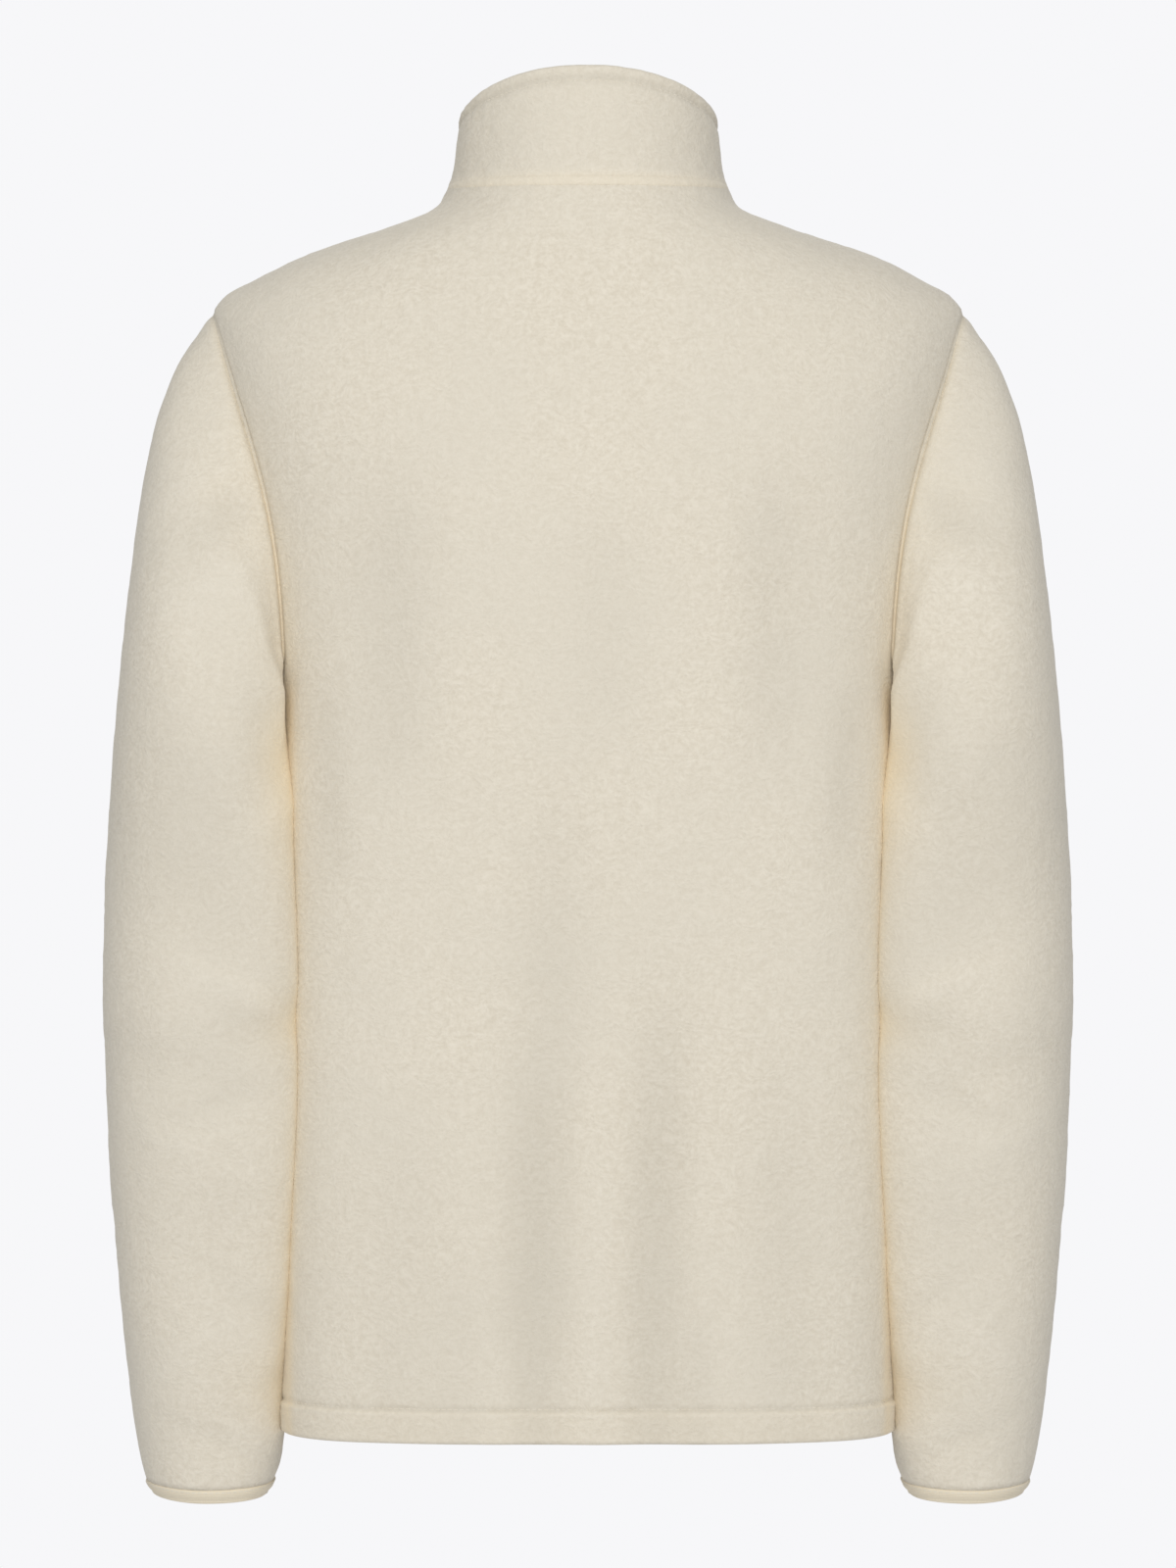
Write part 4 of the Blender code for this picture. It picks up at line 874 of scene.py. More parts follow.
def sleeve_ring(angle, place, table, keys):
    """Points round the sleeve's squared ellipse at this place along it."""
    size = {field: through(keys, values, place) for field, values in table.items()}
    outer, back = np.cos(angle), np.sin(angle)
    square = size["squareness"] + INNER_SQUARENESS * smoothstep(-2.0 * outer)
    reach = (np.abs(outer) ** square + np.abs(back) ** square) ** (1.0 / square)
    depth = np.where(back > 0.0, size["back_depth"], size["front_depth"])
    half = 0.5 * outer / reach
    x = (size["outer_x"] + size["inner_x"]) / 2 + half * (size["outer_x"] - size["inner_x"])
    z = (size["outer_z"] + size["inner_z"]) / 2 + half * (size["outer_z"] - size["inner_z"])
    return np.stack([x, size["middle_y"] + depth * back / reach, z], axis=-1)


def body_side(points):
    """How far out the body's side lies at each point's height and depth."""
    y, z = points[..., 1], points[..., 2]
    up = np.interp(z, BODY.table["side_z"][:8], BODY.keys[:8])
    depth = np.where(y > 0.0, BODY.size("back_depth", up), BODY.size("front_depth", up))
    square = BODY.size("square", up)
    inside = np.clip(1.0 - (np.abs(y) / depth) ** square, 0.0, 1.0)
    return BODY.size("half_width", up) * inside ** (1.0 / square)


def clear_of_body(points, clearance):
    """Points moved out sideways where they would come nearer than this to the body's side."""
    side = body_side(points) + clearance
    nearness = points[..., 0] - side
    moved = side + 0.5 * (nearness + np.hypot(nearness, CONTACT_SOFTNESS))
    return np.stack([moved, points[..., 1], points[..., 2]], axis=-1)


def sleeve_relief(points, angle, folds):
    """How far the folds move each point out: a bell over height and angle for each fold."""
    z, degrees = points[..., 2], np.degrees(angle) % 360.0
    relief = np.zeros_like(z)
    for fold in folds:
        round_from = (degrees - fold.angle + 180.0) % 360.0 - 180.0
        drop = (z - fold.z + fold.slant * round_from) / fold.half_height
        relief -= fold.depth * np.exp(-(drop**2) - (round_from / fold.half_angle) ** 2)
    return relief


def tube_normals(points):
    """Unit vectors out of a grid that is closed round: its step along crossed with its step round."""
    around = np.roll(points, -2, axis=1) - np.roll(points, 2, axis=1)
    return unit(np.cross(np.gradient(points, axis=0), around))


def sleeve_grid():
    """The left sleeve's folded outer face, its normals, the angles round it and the way along it."""
    table = columns_of(SLEEVE_RINGS)
    middle_x = (table["outer_x"] + table["inner_x"]) / 2
    middle_z = (table["outer_z"] + table["inner_z"]) / 2
    run = np.hypot(np.diff(middle_x), np.diff(middle_z))
    keys = np.concatenate([[0.0], np.cumsum(run)])
    length = keys[-1]
    loop, body_normals = armhole_loop()

    near_seam = SEAM_BAND * np.linspace(0.0, 1.0, 9) ** 1.3
    rest = np.linspace(SEAM_BAND, length, 192)[1:]
    place = np.concatenate([near_seam, rest])[:, None]
    centre = np.array([middle_x[0], table["middle_y"][0], middle_z[0]])
    half = np.array([table["outer_x"][0], 0.0, table["outer_z"][0]]) - centre * (1, 0, 1)
    seen = loop - centre
    depth = np.where(seen[:, 1] > 0.0, table["back_depth"][0], table["front_depth"][0])
    start = np.arctan2(seen[:, 1] / depth, seen @ half / (half @ half)) % FULL_TURN
    start[0] = 0.0
    even = np.arange(len(loop)) * FULL_TURN / len(loop)
    angle = start + (even - start) * smoothstep(place / (TURN_RUN * length))

    grid = sleeve_ring(angle, place, table, keys)
    misfit = loop - grid[0]
    from_seam = place / length
    grid = grid + misfit * (1.0 - smoothstep(from_seam / FIT_RUN))[..., None]
    top_fade, cuff_fade = FOLD_FADE
    fade = smoothstep(from_seam / top_fade) * smoothstep((1.0 - from_seam) / cuff_fade)
    relief = sleeve_relief(grid, angle, SLEEVE_FOLDS) * fade
    relief += sleeve_relief(grid, angle, ARMPIT_FOLDS) * smoothstep(place / SLACK_RUN)
    grid = grid + tube_normals(grid) * relief[..., None]
    kept_clear = clear_of_body(grid, BODY_CLEARANCE)
    grid = grid + (kept_clear - grid) * smoothstep(place / FREE_RUN)[..., None]
    grid[0] = loop
    at_cuff = smoothstep((place - length + CUFF_RISE_RUN) / CUFF_RISE_RUN)
    grid[..., 2] += CUFF_RISE * np.cos(angle) ** 2 * at_cuff
    normals = tube_normals(grid)
    normals[0] = unit(normals[1] + body_normals)
    normals[-1, :, 2] = 0.0
    return grid, unit(normals), angle


def sleeve_surface():
    """The left sleeve's outer and inner grids and its shades of painted shade, highlight and warm bounce
    light, with creases, seam, cuff and pile.
    """
    grid, normals, angle = sleeve_grid()
    steps = np.linalg.norm(np.diff(grid, axis=0), axis=-1)
    from_seam = np.concatenate([np.zeros((1, grid.shape[1])), np.cumsum(steps, axis=0)])
    to_cuff = from_seam[-1] - from_seam
    top_fade, cuff_fade = CREASE_FADE
    fade = smoothstep(from_seam / top_fade) * smoothstep(to_cuff / cuff_fade)
    creases = sleeve_relief(grid, angle, FINE_SLEEVE_CREASES) * fade
    # painted shade in the sleeve's troughs, along the armhole's seam and above the cuff, painted
    # highlight on its ridges
    painted_shading = painted_fold_shading(sleeve_relief(grid, angle, SLEEVE_FOLDS) * fade + CREASE_PAINTED_SHADING * creases)
    painted_shading += marked(from_seam, SEAM_SHADE) + marked(to_cuff, CUFF_SHADE)
    calm = smoothstep(from_seam / SEAM_CALM)
    relief = creases + uneven(grid) * (STEADY_PILE + (1.0 - STEADY_PILE) * calm)
    relief += seam_roll(from_seam) * armhole_sink(grid) + CUFF_ROLL * seam_roll(to_cuff)
    relief += marked(from_seam, SLEEVE_SEAM_PUFF)
    from_underarm = np.abs(angle - UNDERARM_SEAM) * UNDERARM_RADIUS
    relief += marked(from_underarm, UNDERARM_DIP) * smoothstep(from_seam / 0.02)
    outer = grid + normals * relief[..., None]
    thin_end, full_start = THIN_REACH
    thin = smoothstep((full_start - from_seam) / (full_start - thin_end))
    thin = thin * smoothstep(0.4 - 3.0 * np.cos(angle))
    inner = grid + normals * (relief * thin - FLEECE * (1.0 - THIN_SHARE * thin))[..., None]
    # painted warm bounce light beside the body, by the armhole's seam and in the folds at elbow, armpit
    # and wrist
    beside = outer[..., 0] - body_side(outer)
    strength, reach, top_z, bottom_z = SLEEVE_SIDE_PAINTED_BOUNCE
    below_armpit = smoothstep((top_z - outer[..., 2]) / 0.02)
    above_hem = smoothstep((outer[..., 2] - bottom_z) / 0.03)
    painted_bounce = strength * np.exp(-np.maximum(beside, 0.0) / reach) * below_armpit * above_hem
    least, more = ARMHOLE_PAINTED_BOUNCE
    low = smoothstep((-0.13 - outer[..., 2]) / 0.06)
    painted_bounce += bell(from_seam, 0.0026) * (least + more * low)
    for strength, patch in PAINTED_BOUNCE_PATCHES:
        painted_bounce += strength * sleeve_relief(grid, angle, (patch,))
    return outer, inner, np.stack([painted_bounce.clip(0.0, 1.0), painted_shading], axis=-1), grid, normals


def mirrored(points, side):
    """Points or vectors of the left side as they are, or of the right side at side -1."""
    return points * np.array([side, 1.0, 1.0])


# ---------------------------------------------------------------- collar and cuffs


def collar_relief(up, rise, sideways):
    """The dip over the seam at its foot, the stitched line under its rim and its puckers."""
    from_line = rise - COLLAR_STITCH_DROP - up
    height, run = COLLAR_PUCKER
    pucker = height * np.sin(sideways / run) * bell(from_line, 0.005)
    edges = marked(up, COLLAR_FOOT_DIP) + marked(rise - up, COLLAR_RIM_PUFF)
    return edges + stitch_valley(from_line) + pucker


def collar_surface():
    """Closed sections round the collar, up its outer face, over its rim and down inside."""
    rise = COLLAR.keys[-1]
    centre = centre_turn(SLOT_HALF, COLLAR, np.array([0.0, rise / 2, rise]))[0]
    turn = (2.0 * finer_at_ends(321, 0.3) - 1.0) * centre
    start, run = COLLAR_SINGLE
    near_zip = smoothstep((np.abs(turn) - start * math.pi) / (run * math.pi))
    fold = COLLAR_FOLD + (FLEECE - COLLAR_FOLD) * near_zip
    rim = 0.5 * fold
    share = np.concatenate([np.linspace(0.0, 0.10, 7), np.linspace(0.10, 1.0, 44)[1:]])
    up = share[None, :] * (rise - rim[:, None] - SEAM_GAP) + SEAM_GAP
    turn_grid = np.broadcast_to(turn[:, None], up.shape)
    points, normals = COLLAR.points(turn_grid, up), COLLAR.normals(turn_grid, up)
    steps = np.linalg.norm(np.diff(points[:, 20], axis=0), axis=-1)
    sideways = np.concatenate([[0.0], np.cumsum(steps)])[:, None]
    from_zip = np.minimum(sideways, sideways[-1] - sideways)
    relief = collar_relief(up, rise, sideways) * smoothstep(from_zip / SEAM_CALM)
    relief += uneven(points) + seam_roll(up) * NECK_SINK / SEAM_SINK + seam_roll(from_zip)
    relief += stitch_valley(from_zip - (ZIP_STITCH_OFFSET - SLOT_HALF))
    outer = points + normals * relief[..., None]
    inner = points - normals * fold[:, None, None] + normals * (0.5 * uneven(points))[..., None]
    top_out, top_in = outer[:, -1], inner[:, -1]
    middle, radius = (top_out + top_in) / 2, (top_out - top_in) / 2
    climb = unit(points[:, -1] - points[:, -2]) * rim[:, None]
    arc = np.linspace(0.0, math.pi, 13)[1:-1]
    over = (
        middle[:, None]
        + radius[:, None] * np.cos(arc)[None, :, None]
        + climb[:, None] * np.sin(arc)[None, :, None]
    )
    over += climb[:, None] / rim[:, None, None] * (0.6 * uneven(over))[..., None]
    sections = np.concatenate([outer, over, inner[:, ::-1]], axis=1)
    shades = np.zeros((*sections.shape[:2], 2))
    # painted highlight and painted warm bounce light at the collar's foot, painted shade at its stitch
    # line and on its sides
    foot = marked(up, COLLAR_FOOT_SHADE)
    painted_shading = foot + marked(rise - COLLAR_STITCH_DROP - up, COLLAR_LINE_SHADE)
    painted_shading = painted_shading - COLLAR_SIDE_SHADE * np.sin(turn_grid) ** 8
    shades[:, : outer.shape[1]] = np.stack([COLLAR_PAINTED_BOUNCE * foot, painted_shading], axis=-1)
    return sections, shades, (outer, normals, up, rise)


def seam_sections(path, out, half_width, half_height):
    """Ovals across a path: half width * cosine to the side, and half height * sine outwards."""
    ahead = unit(np.gradient(path, axis=0))
    out = unit(out - ahead * (out * ahead).sum(axis=-1, keepdims=True))
    side = np.cross(out, ahead)
    angle = np.arange(SECTION_SIDES) * FULL_TURN / SECTION_SIDES
    return (
        path[:, None]
        + (side * half_width)[:, None] * np.cos(angle)[None, :, None]
        + (out * half_height)[:, None] * np.sin(angle)[None, :, None]
    )


def collar_seam_surface():
    """The raised seam round the foot of the collar, from one side of the zip to the other."""
    centre = centre_turn(SLOT_HALF, COLLAR, np.array([0.0]))[0]
    turn = 0.993 * centre * np.linspace(-1.0, 1.0, 361)
    path = BODY.points(turn, np.full_like(turn, NECK))
    out = unit(BODY.normals(turn, NECK - 0.004) + COLLAR.normals(turn, 0.004))
    least, more = COLLAR_SEAM_SUNK
    sunk = least + more * np.sin(turn) ** 6
    path = path + out * (0.5 * uneven(path) - sunk)[:, None]
    sections = seam_sections(path, out, *COLLAR_SEAM_SIZE)
    shades = np.zeros((*sections.shape[:2], 2))
    # the whole seam gets painted warm bounce light and a painted highlight
    shades[:] = COLLAR_SEAM_SHADE
    return sections, shades


def armhole_seam_surface(grid, normals):
    """The seam round the left armhole: thin and sunk at the shoulder, full in the armpit's groove."""
    path, out = grid[0], normals[0]
    low = smoothstep((-0.120 - path[:, 2]) / 0.110)[:, None]
    radius = ARMHOLE_SEAM_HIGH[0] + (ARMHOLE_SEAM_LOW[0] - ARMHOLE_SEAM_HIGH[0]) * low
    lift = ARMHOLE_SEAM_HIGH[1] + (ARMHOLE_SEAM_LOW[1] - ARMHOLE_SEAM_HIGH[1]) * low
    path = path + out * (lift + 0.5 * uneven(path)[:, None])
    closed = np.concatenate([path[-2:], path, path[:2]])
    around = [np.concatenate([part[-2:], part, part[:2]]) for part in (out, radius)]
    sections = seam_sections(closed, around[0], ARMHOLE_SEAM_FLAT * around[1], around[1])[2:-2]
    # painted warm bounce light low in the armpit, and painted shade all along the seam
    painted_bounce = np.broadcast_to(0.50 * low, sections.shape[:2])
    painted_shading = np.full_like(painted_bounce, -1.0)
    return sections, np.stack([painted_bounce, painted_shading], axis=-1)


def binding_surface(end_ring, normals):
    """Closed sections round the cuff: straight above and rounded below, with a small overlap."""
    half = BINDING_THICKNESS / 2
    middle = end_ring - normals * FLEECE / 2
    centre = end_ring.mean(axis=0)
    inward = centre - end_ring
    inward[:, 2] = 0.0
    inward = unit(inward)
    top = middle + DOWN * SEAM_GAP
    drop = BINDING_HEIGHT - SEAM_GAP - half
    level = np.linspace(0.0, 1.0, 13)
    round_end, flat, full, taper = BINDING_BELLY
    shoulder = np.clip(1.0 - level / round_end, 0.0, 1.0)
    belly = flat + full * np.sqrt(1.0 - shoulder**2) - taper * smoothstep((level - 0.55) / 0.45)
    line = top[:, None] + drop * level[None, :, None] * DOWN
    line = line + inward[:, None] * (BINDING_PULL_IN * level[None, :, None] ** 2)
    around = np.arctan2(end_ring[:, 1] - centre[1], end_ring[:, 0] - centre[0])
    thick = half * (belly[None, :] + marked(np.abs(around), BINDING_LAP)[:, None])
    outer = line - inward[:, None] * thick[..., None]
    inner = line + inward[:, None] * thick[..., None]
    arc = np.linspace(0.0, math.pi, 9)[1:-1]
    low, reach = line[:, -1], thick[:, -1]
    below = (
        low[:, None]
        - inward[:, None] * (reach[:, None] * np.cos(arc))[..., None]
        + DOWN * (reach[:, None] * np.sin(arc))[..., None]
    )
    sections = np.concatenate([outer, below, inner[:, ::-1]], axis=1)
    return sections, (outer[:, 3], -inward)


# ---------------------------------------------------------------- zip


def front_line(offset):
    """Points and normals up the front at a sideways distance from the centre, from hem to rim."""
    lines = []
    for form, places in (
        (BODY, np.linspace(ZIP_ENDS, NECK, 500)),
        (COLLAR, np.linspace(0.0005, COLLAR.keys[-1] - ZIP_ENDS, 60)),
    ):
        turn = math.copysign(1.0, offset) * centre_turn(abs(offset), form, places)
        points, normals = form.points(turn, places), form.normals(turn, places)
        if form is BODY:
            proud = body_relief(points, BODY_FOLDS) + hem_proud(places)
            points = points + normals * proud[:, None]
        lines.append((points, normals))
    return tuple(np.concatenate(pair) for pair in zip(*lines))


# ---------------------------------------------------------------- materials


class Nodes:
    """A short way to add nodes to a material and join them."""

    def __init__(self, name):
        self.material = bpy.data.materials.new(name)
        self.material.use_nodes = True
        self.tree = self.material.node_tree
        self.shader = self.tree.nodes["Principled BSDF"]
        self.place = self.add("ShaderNodeTexCoord").outputs["Object"]

    def add(self, kind, **inputs):
        """A node of this kind, with its sockets given by name: a value, or another node's output."""
        node = self.tree.nodes.new(kind)
        for name, value in inputs.items():
            self.put(node, name.replace("_", " "), value)
        return node

    def put(self, node, name, value):
        """Set a socket, given by name or number, or join it to another node's output."""
        socket = node.inputs[int(name)] if name.isdigit() else node.inputs[name]
        if isinstance(value, bpy.types.NodeSocket):
            self.tree.links.new(value, socket)
        else:
            socket.default_value = value

    def noise(self, scale, detail, vector=None, distortion=0.0):
        node = self.add(
            "ShaderNodeTexNoise",
            Vector=vector or self.place,
            Scale=scale,
            Detail=detail,
            Distortion=distortion,
        )
        return node.outputs["Fac"]

    def attribute(self, name):
        node = self.tree.nodes.new("ShaderNodeAttribute")
        node.attribute_name = name
        return node.outputs["Fac"]

    def math(self, operation, first, second, kind="ShaderNodeMath"):
        node = self.tree.nodes.new(kind)
        node.operation = operation
        self.put(node, "0", first)
        self.put(node, "1", second)
        return node.outputs[0]

    def vector_math(self, operation, first, second):
        return self.math(operation, first, second, "ShaderNodeVectorMath")

    def spread(self, value, low, high, to_low=0.0, to_high=1.0):
        """A value's range from low to high brought to another range, and held at its ends."""
        node = self.tree.nodes.new("ShaderNodeMapRange")
        for name, number in zip(
            ("Value", "From Min", "From Max", "To Min", "To Max"),
            (value, low, high, to_low, to_high),
        ):
            self.put(node, name, number)
        return node.outputs["Result"]

    def mix(self, share, first, second):
        """One colour blended into another."""
        node = self.tree.nodes.new("ShaderNodeMix")
        node.data_type = "RGBA"
        self.put(node, "0", share)
        self.put(node, "6", first)
        self.put(node, "7", second)
        return node.outputs[2]

    def bump(self, height, distance, strength, **below):
        """The surface raised by this height, on the Normal of another bump if it is given."""
        node = self.add(
            "ShaderNodeBump", Height=height, Distance=distance, Strength=strength, **below
        )
        return node.outputs["Normal"]

    def finished(self, **inputs):
        """The material, once its shader has these inputs."""
        for name, value in inputs.items():
            self.put(self.shader, name.replace("_", " "), value)
        return self.material


def colour(value):
    """A colour with its alpha of 1."""
    return (*value[:3], 1.0)


def fleece_material(name, settings):
    """Short brushed pile: swirled streaks and fine fibres over soft patches, with painted shade and
    highlight, and painted warm bounce light in the seams.
    """
    make = Nodes(name)
    swirl = make.add("ShaderNodeTexNoise", Vector=make.place, Scale=60.0, Detail=1.0)
    centred = make.vector_math("SUBTRACT", swirl.outputs["Color"], (0.5, 0.5, 0.5))
    bent = make.vector_math(
        "ADD", make.place, make.vector_math("MULTIPLY", centred, (0.007, 0.007, 0.011))
    )
    streak_place = make.vector_math("MULTIPLY", bent, (1.0, 1.0, 1.8))
    streaks = make.noise(1.0 / settings.streak_length, 2.0, streak_place)
    tufts = make.noise(2.1 / settings.streak_length, 2.0, bent)
    fibres = make.noise(1500.0, 2.0)
    patches = make.noise(11.0, 2.0)
    pile = make.math("ADD", make.math("MULTIPLY", streaks, 0.5), make.math("MULTIPLY", tufts, 0.5))
    # random tone of the pile, lighter at the tufts' tips and darker between them where the bump is low,
    # that darkening being painted shade
    lit = make.spread(pile, 0.36, 0.64)
    cloth = make.mix(lit, colour(settings.pile_root_and_shade), colour(settings.pile_tip))
    worn = make.spread(patches, 0.35, 0.65, 0.0, 0.5)
    cloth = make.mix(worn, cloth, colour(settings.pile_shade))
    # painted shade darkens the cloth in troughs, along seams and stitch lines and on the collar's sides,
    # painted highlight lightens it on ridges and raised seams
    painted_shading = make.attribute("painted_shading")
    painted_shade_share = make.spread(painted_shading, -1.0, 0.0, settings.painted_shading_contrast, 0.0)
    cloth = make.mix(painted_shade_share, cloth, (0.36, 0.33, 0.27, 1.0))
    painted_highlight_share = make.spread(painted_shading, 0.0, 1.0, 0.0, settings.painted_shading_contrast)
    cloth = make.mix(painted_highlight_share, cloth, (1.0, 0.96, 0.86, 1.0))
    # painted warm bounce light deep in seams, creases and below the arms
    painted_bounce_share = make.math("MULTIPLY", make.attribute("painted_bounce"), settings.seam_painted_bounce)
    cloth = make.mix(painted_bounce_share, cloth, colour(settings.painted_bounce_colour))
    low = make.bump(pile, settings.pile_height, 0.7)
    return make.finished(
        Base_Color=cloth,
        Roughness=0.95,
        Specular_IOR_Level=0.12,
        Sheen_Weight=0.22,
        Sheen_Roughness=0.55,
        Sheen_Tint=(1.0, 0.985, 0.96, 1.0),
        Normal=make.bump(fibres, 0.0004, 0.30, Normal=low),
    )


def tape_material(name, base, shade, rib):
    """Woven tape: fine ribs across it, with slight colour changes from thread to thread."""
    make = Nodes(name)
    ribs = make.tree.nodes.new("ShaderNodeTexWave")
    ribs.wave_type = "BANDS"
    ribs.bands_direction = rib[0]
    make.put(ribs, "Vector", make.place)
    make.put(ribs, "Scale", rib[1])
    make.put(ribs, "Distortion", 0.6)
    make.put(ribs, "Detail", 1.0)
    threads = make.noise(1100.0, 2.0)
    height = make.math("ADD", make.math("MULTIPLY", ribs.outputs["Fac"], 0.7), threads)
    share = make.spread(height, 0.3, 1.3)
    return make.finished(
        Base_Color=make.mix(share, colour(shade), colour(base)),
        Roughness=0.85,
        Specular_IOR_Level=0.2,
        Sheen_Weight=0.12,
        Normal=make.bump(height, 0.0003, 0.5),
    )


def coated_metal_material(name, settings):
    """Satin enamel on cast zinc: a faint orange peel, rubbed a little darker in places."""
    make = Nodes(name)
    peel = make.noise(420.0, 2.0)
    rubbed = make.spread(make.noise(160.0, 3.0), 0.52, 0.72)
    base = make.mix(rubbed, colour(settings.zip_colour), (0.50, 0.43, 0.32, 1.0))
    satin = make.spread(peel, 0.3, 0.7, 0.32, 0.48)
    bumps = make.bump(peel, 0.0001, 0.25)
    return make.finished(Base_Color=base, Metallic=0.25, Roughness=satin, Normal=bumps)


def coil_material(name, settings):
    """Satin nylon coil."""
    make = Nodes(name)
    grain = make.noise(900.0, 2.0)
    base = make.mix(grain, colour(settings.zip_colour), (0.80, 0.73, 0.60, 1.0))
    return make.finished(
        Base_Color=base, Roughness=0.42, Normal=make.bump(grain, 0.00008, 0.2)
    )


def thread_material(name, settings):
    """Matt polyester thread, laid in fine plies."""
    make = Nodes(name)
    plies = make.noise(2200.0, 1.0)
    base = make.mix(plies, colour(settings.pile_shade), colour(settings.pile_tip))
    return make.finished(
        Base_Color=base, Roughness=0.8, Normal=make.bump(plies, 0.0001, 0.3)
    )


def wall_material(name, base):
    """Pale matt paint with a faint roller texture."""
    make = Nodes(name)
    roller = make.noise(60.0, 3.0)
    painted = make.mix(roller, colour(base), (0.86, 0.86, 0.87, 1.0))
    return make.finished(Base_Color=painted, Roughness=0.9)


def look_of(name, maker, *facts):
    """A finish that several pieces share, made once."""
    return bpy.data.materials.get(name) or maker(name, *facts)


def dress(thing, look, nodes=()):
    """Give a piece its finish and its body, and hide the solids that it replaces."""
    thing.data.materials.append(look)
    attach(thing, "jacket")
    if nodes:
        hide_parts(*nodes)
    return thing


def fleece():
    """The finish of every piece of cloth."""
    return look_of("cream_fleece", fleece_material, bpy.context.scene.fleece_jacket)


def sew(name, lines, proud=0.0):
    """The stitches along several lines, as one piece of thread."""
    sewn = bead_object(name, *stitches(lines, proud), STITCH_SIZE)
    look = look_of("sewing_thread", thread_material, bpy.context.scene.fleece_jacket)
    return dress(sewn, look)


# ---------------------------------------------------------------- settings and operators


def length_setting(name, description, default, least=0.0):
    """A setting in metres."""
    return bpy.props.FloatProperty(
        name=name,
        description=description,
        default=default,
        min=least,
        subtype="DISTANCE",
        unit="LENGTH",
    )


def colour_setting(name, description, default):
    """A setting that is a colour."""
    return bpy.props.FloatVectorProperty(
        name=name, description=description, default=default, subtype="COLOR"
    )


def share_setting(name, description, default):
    """A setting from 0 to 1."""
    return bpy.props.FloatProperty(
        name=name, description=description, default=default, min=0.0, max=1.0, subtype="FACTOR"
    )


def power_setting(name, description, default):
    """A lamp's power in watts."""
    return bpy.props.FloatProperty(
        name=name,
        description=description,
        default=default,
        min=0.0,
        subtype="POWER",
        unit="POWER",
    )


class FleeceJacketSettings(bpy.types.PropertyGroup):
    """Sizes and colours of the jacket and its stage."""

    streak_length: length_setting(
        "Streak length", "Length of the brushed streaks in the pile", 0.0040, 0.001
    )
    pile_height: length_setting("Pile height", "Height of the tufts that catch the light", 0.0010)
    # The pile's tips and roots: random tone, with the roots' colour also painted shade between the tufts
    pile_tip: colour_setting("Pile tips", "Colour of the tips of the pile", (0.872, 0.802, 0.672))
    pile_root_and_shade: colour_setting("Pile roots", "Colour between the tufts", (0.772, 0.698, 0.568))
    pile_shade: colour_setting(
        "Soft patches",
        "Colour of large patches where the pile lies the other way",
        (0.800, 0.738, 0.618),
    )
    # Colour and strength of the painted warm bounce light deep in seams, creases and below the arms
    painted_bounce_colour: colour_setting("Warm seams", "Colour deep in seams and creases", (0.920, 0.770, 0.530))
    seam_painted_bounce: share_setting("Seam warmth", "How much of the warm colour shows in seams", 0.75)
    # How strongly painted shade darkens troughs and painted highlight lightens ridges
    painted_shading_contrast: share_setting(
        "Nap contrast",
        "How much darker or lighter the pile looks in troughs and on ridges",
        0.20,
    )
    binding_colour: colour_setting(
        "Binding", "Colour of the elastic tape at the cuffs", (0.930, 0.835, 0.660)
    )
    zip_colour: colour_setting(
        "Zip", "Colour of the coil and of the coated slider", (0.720, 0.650, 0.520)
    )
    key_power: power_setting(
        "Key light", "Power of the large softbox in front of the back of the jacket", 63.0
    )
    fill_power: power_setting("Fill light", "Power of the softbox on the zip's side", 42.0)
    dome_strength: bpy.props.FloatProperty(
        name="Dome light",
        description="Strength of the pale light from all round",
        default=0.43,
        min=0.0,
    )


class JACKET_OT_back(bpy.types.Operator):
    """Build the back, with its hem turned up in one"""

    bl_idname = "fleece_jacket.back"
    bl_label = "Back"

    def execute(self, context):
        turn, up = back_grid()
        edges = (edge_line(turn, up, 0), edge_line(turn, up, -1))
        back = dress(body_panel("back_cloth", turn, up, edges), fleece(), ("back",))
        return {"FINISHED"}


class JACKET_OT_fronts(bpy.types.Operator):
    """Build the two fronts, rolled in beside the zip"""

    bl_idname = "fleece_jacket.fronts"
    bl_label = "Fronts"

    def execute(self, context):
        for side, word in ((1, "left"), (-1, "right")):
            turn, up = front_grid(side)
            edges = (edge_line(turn, up, 0),)
            name = f"front_{word}"
            front = body_panel(f"{name}_cloth", turn, up, edges, beside_zip=True)
            dress(front, fleece(), (name,))
        return {"FINISHED"}


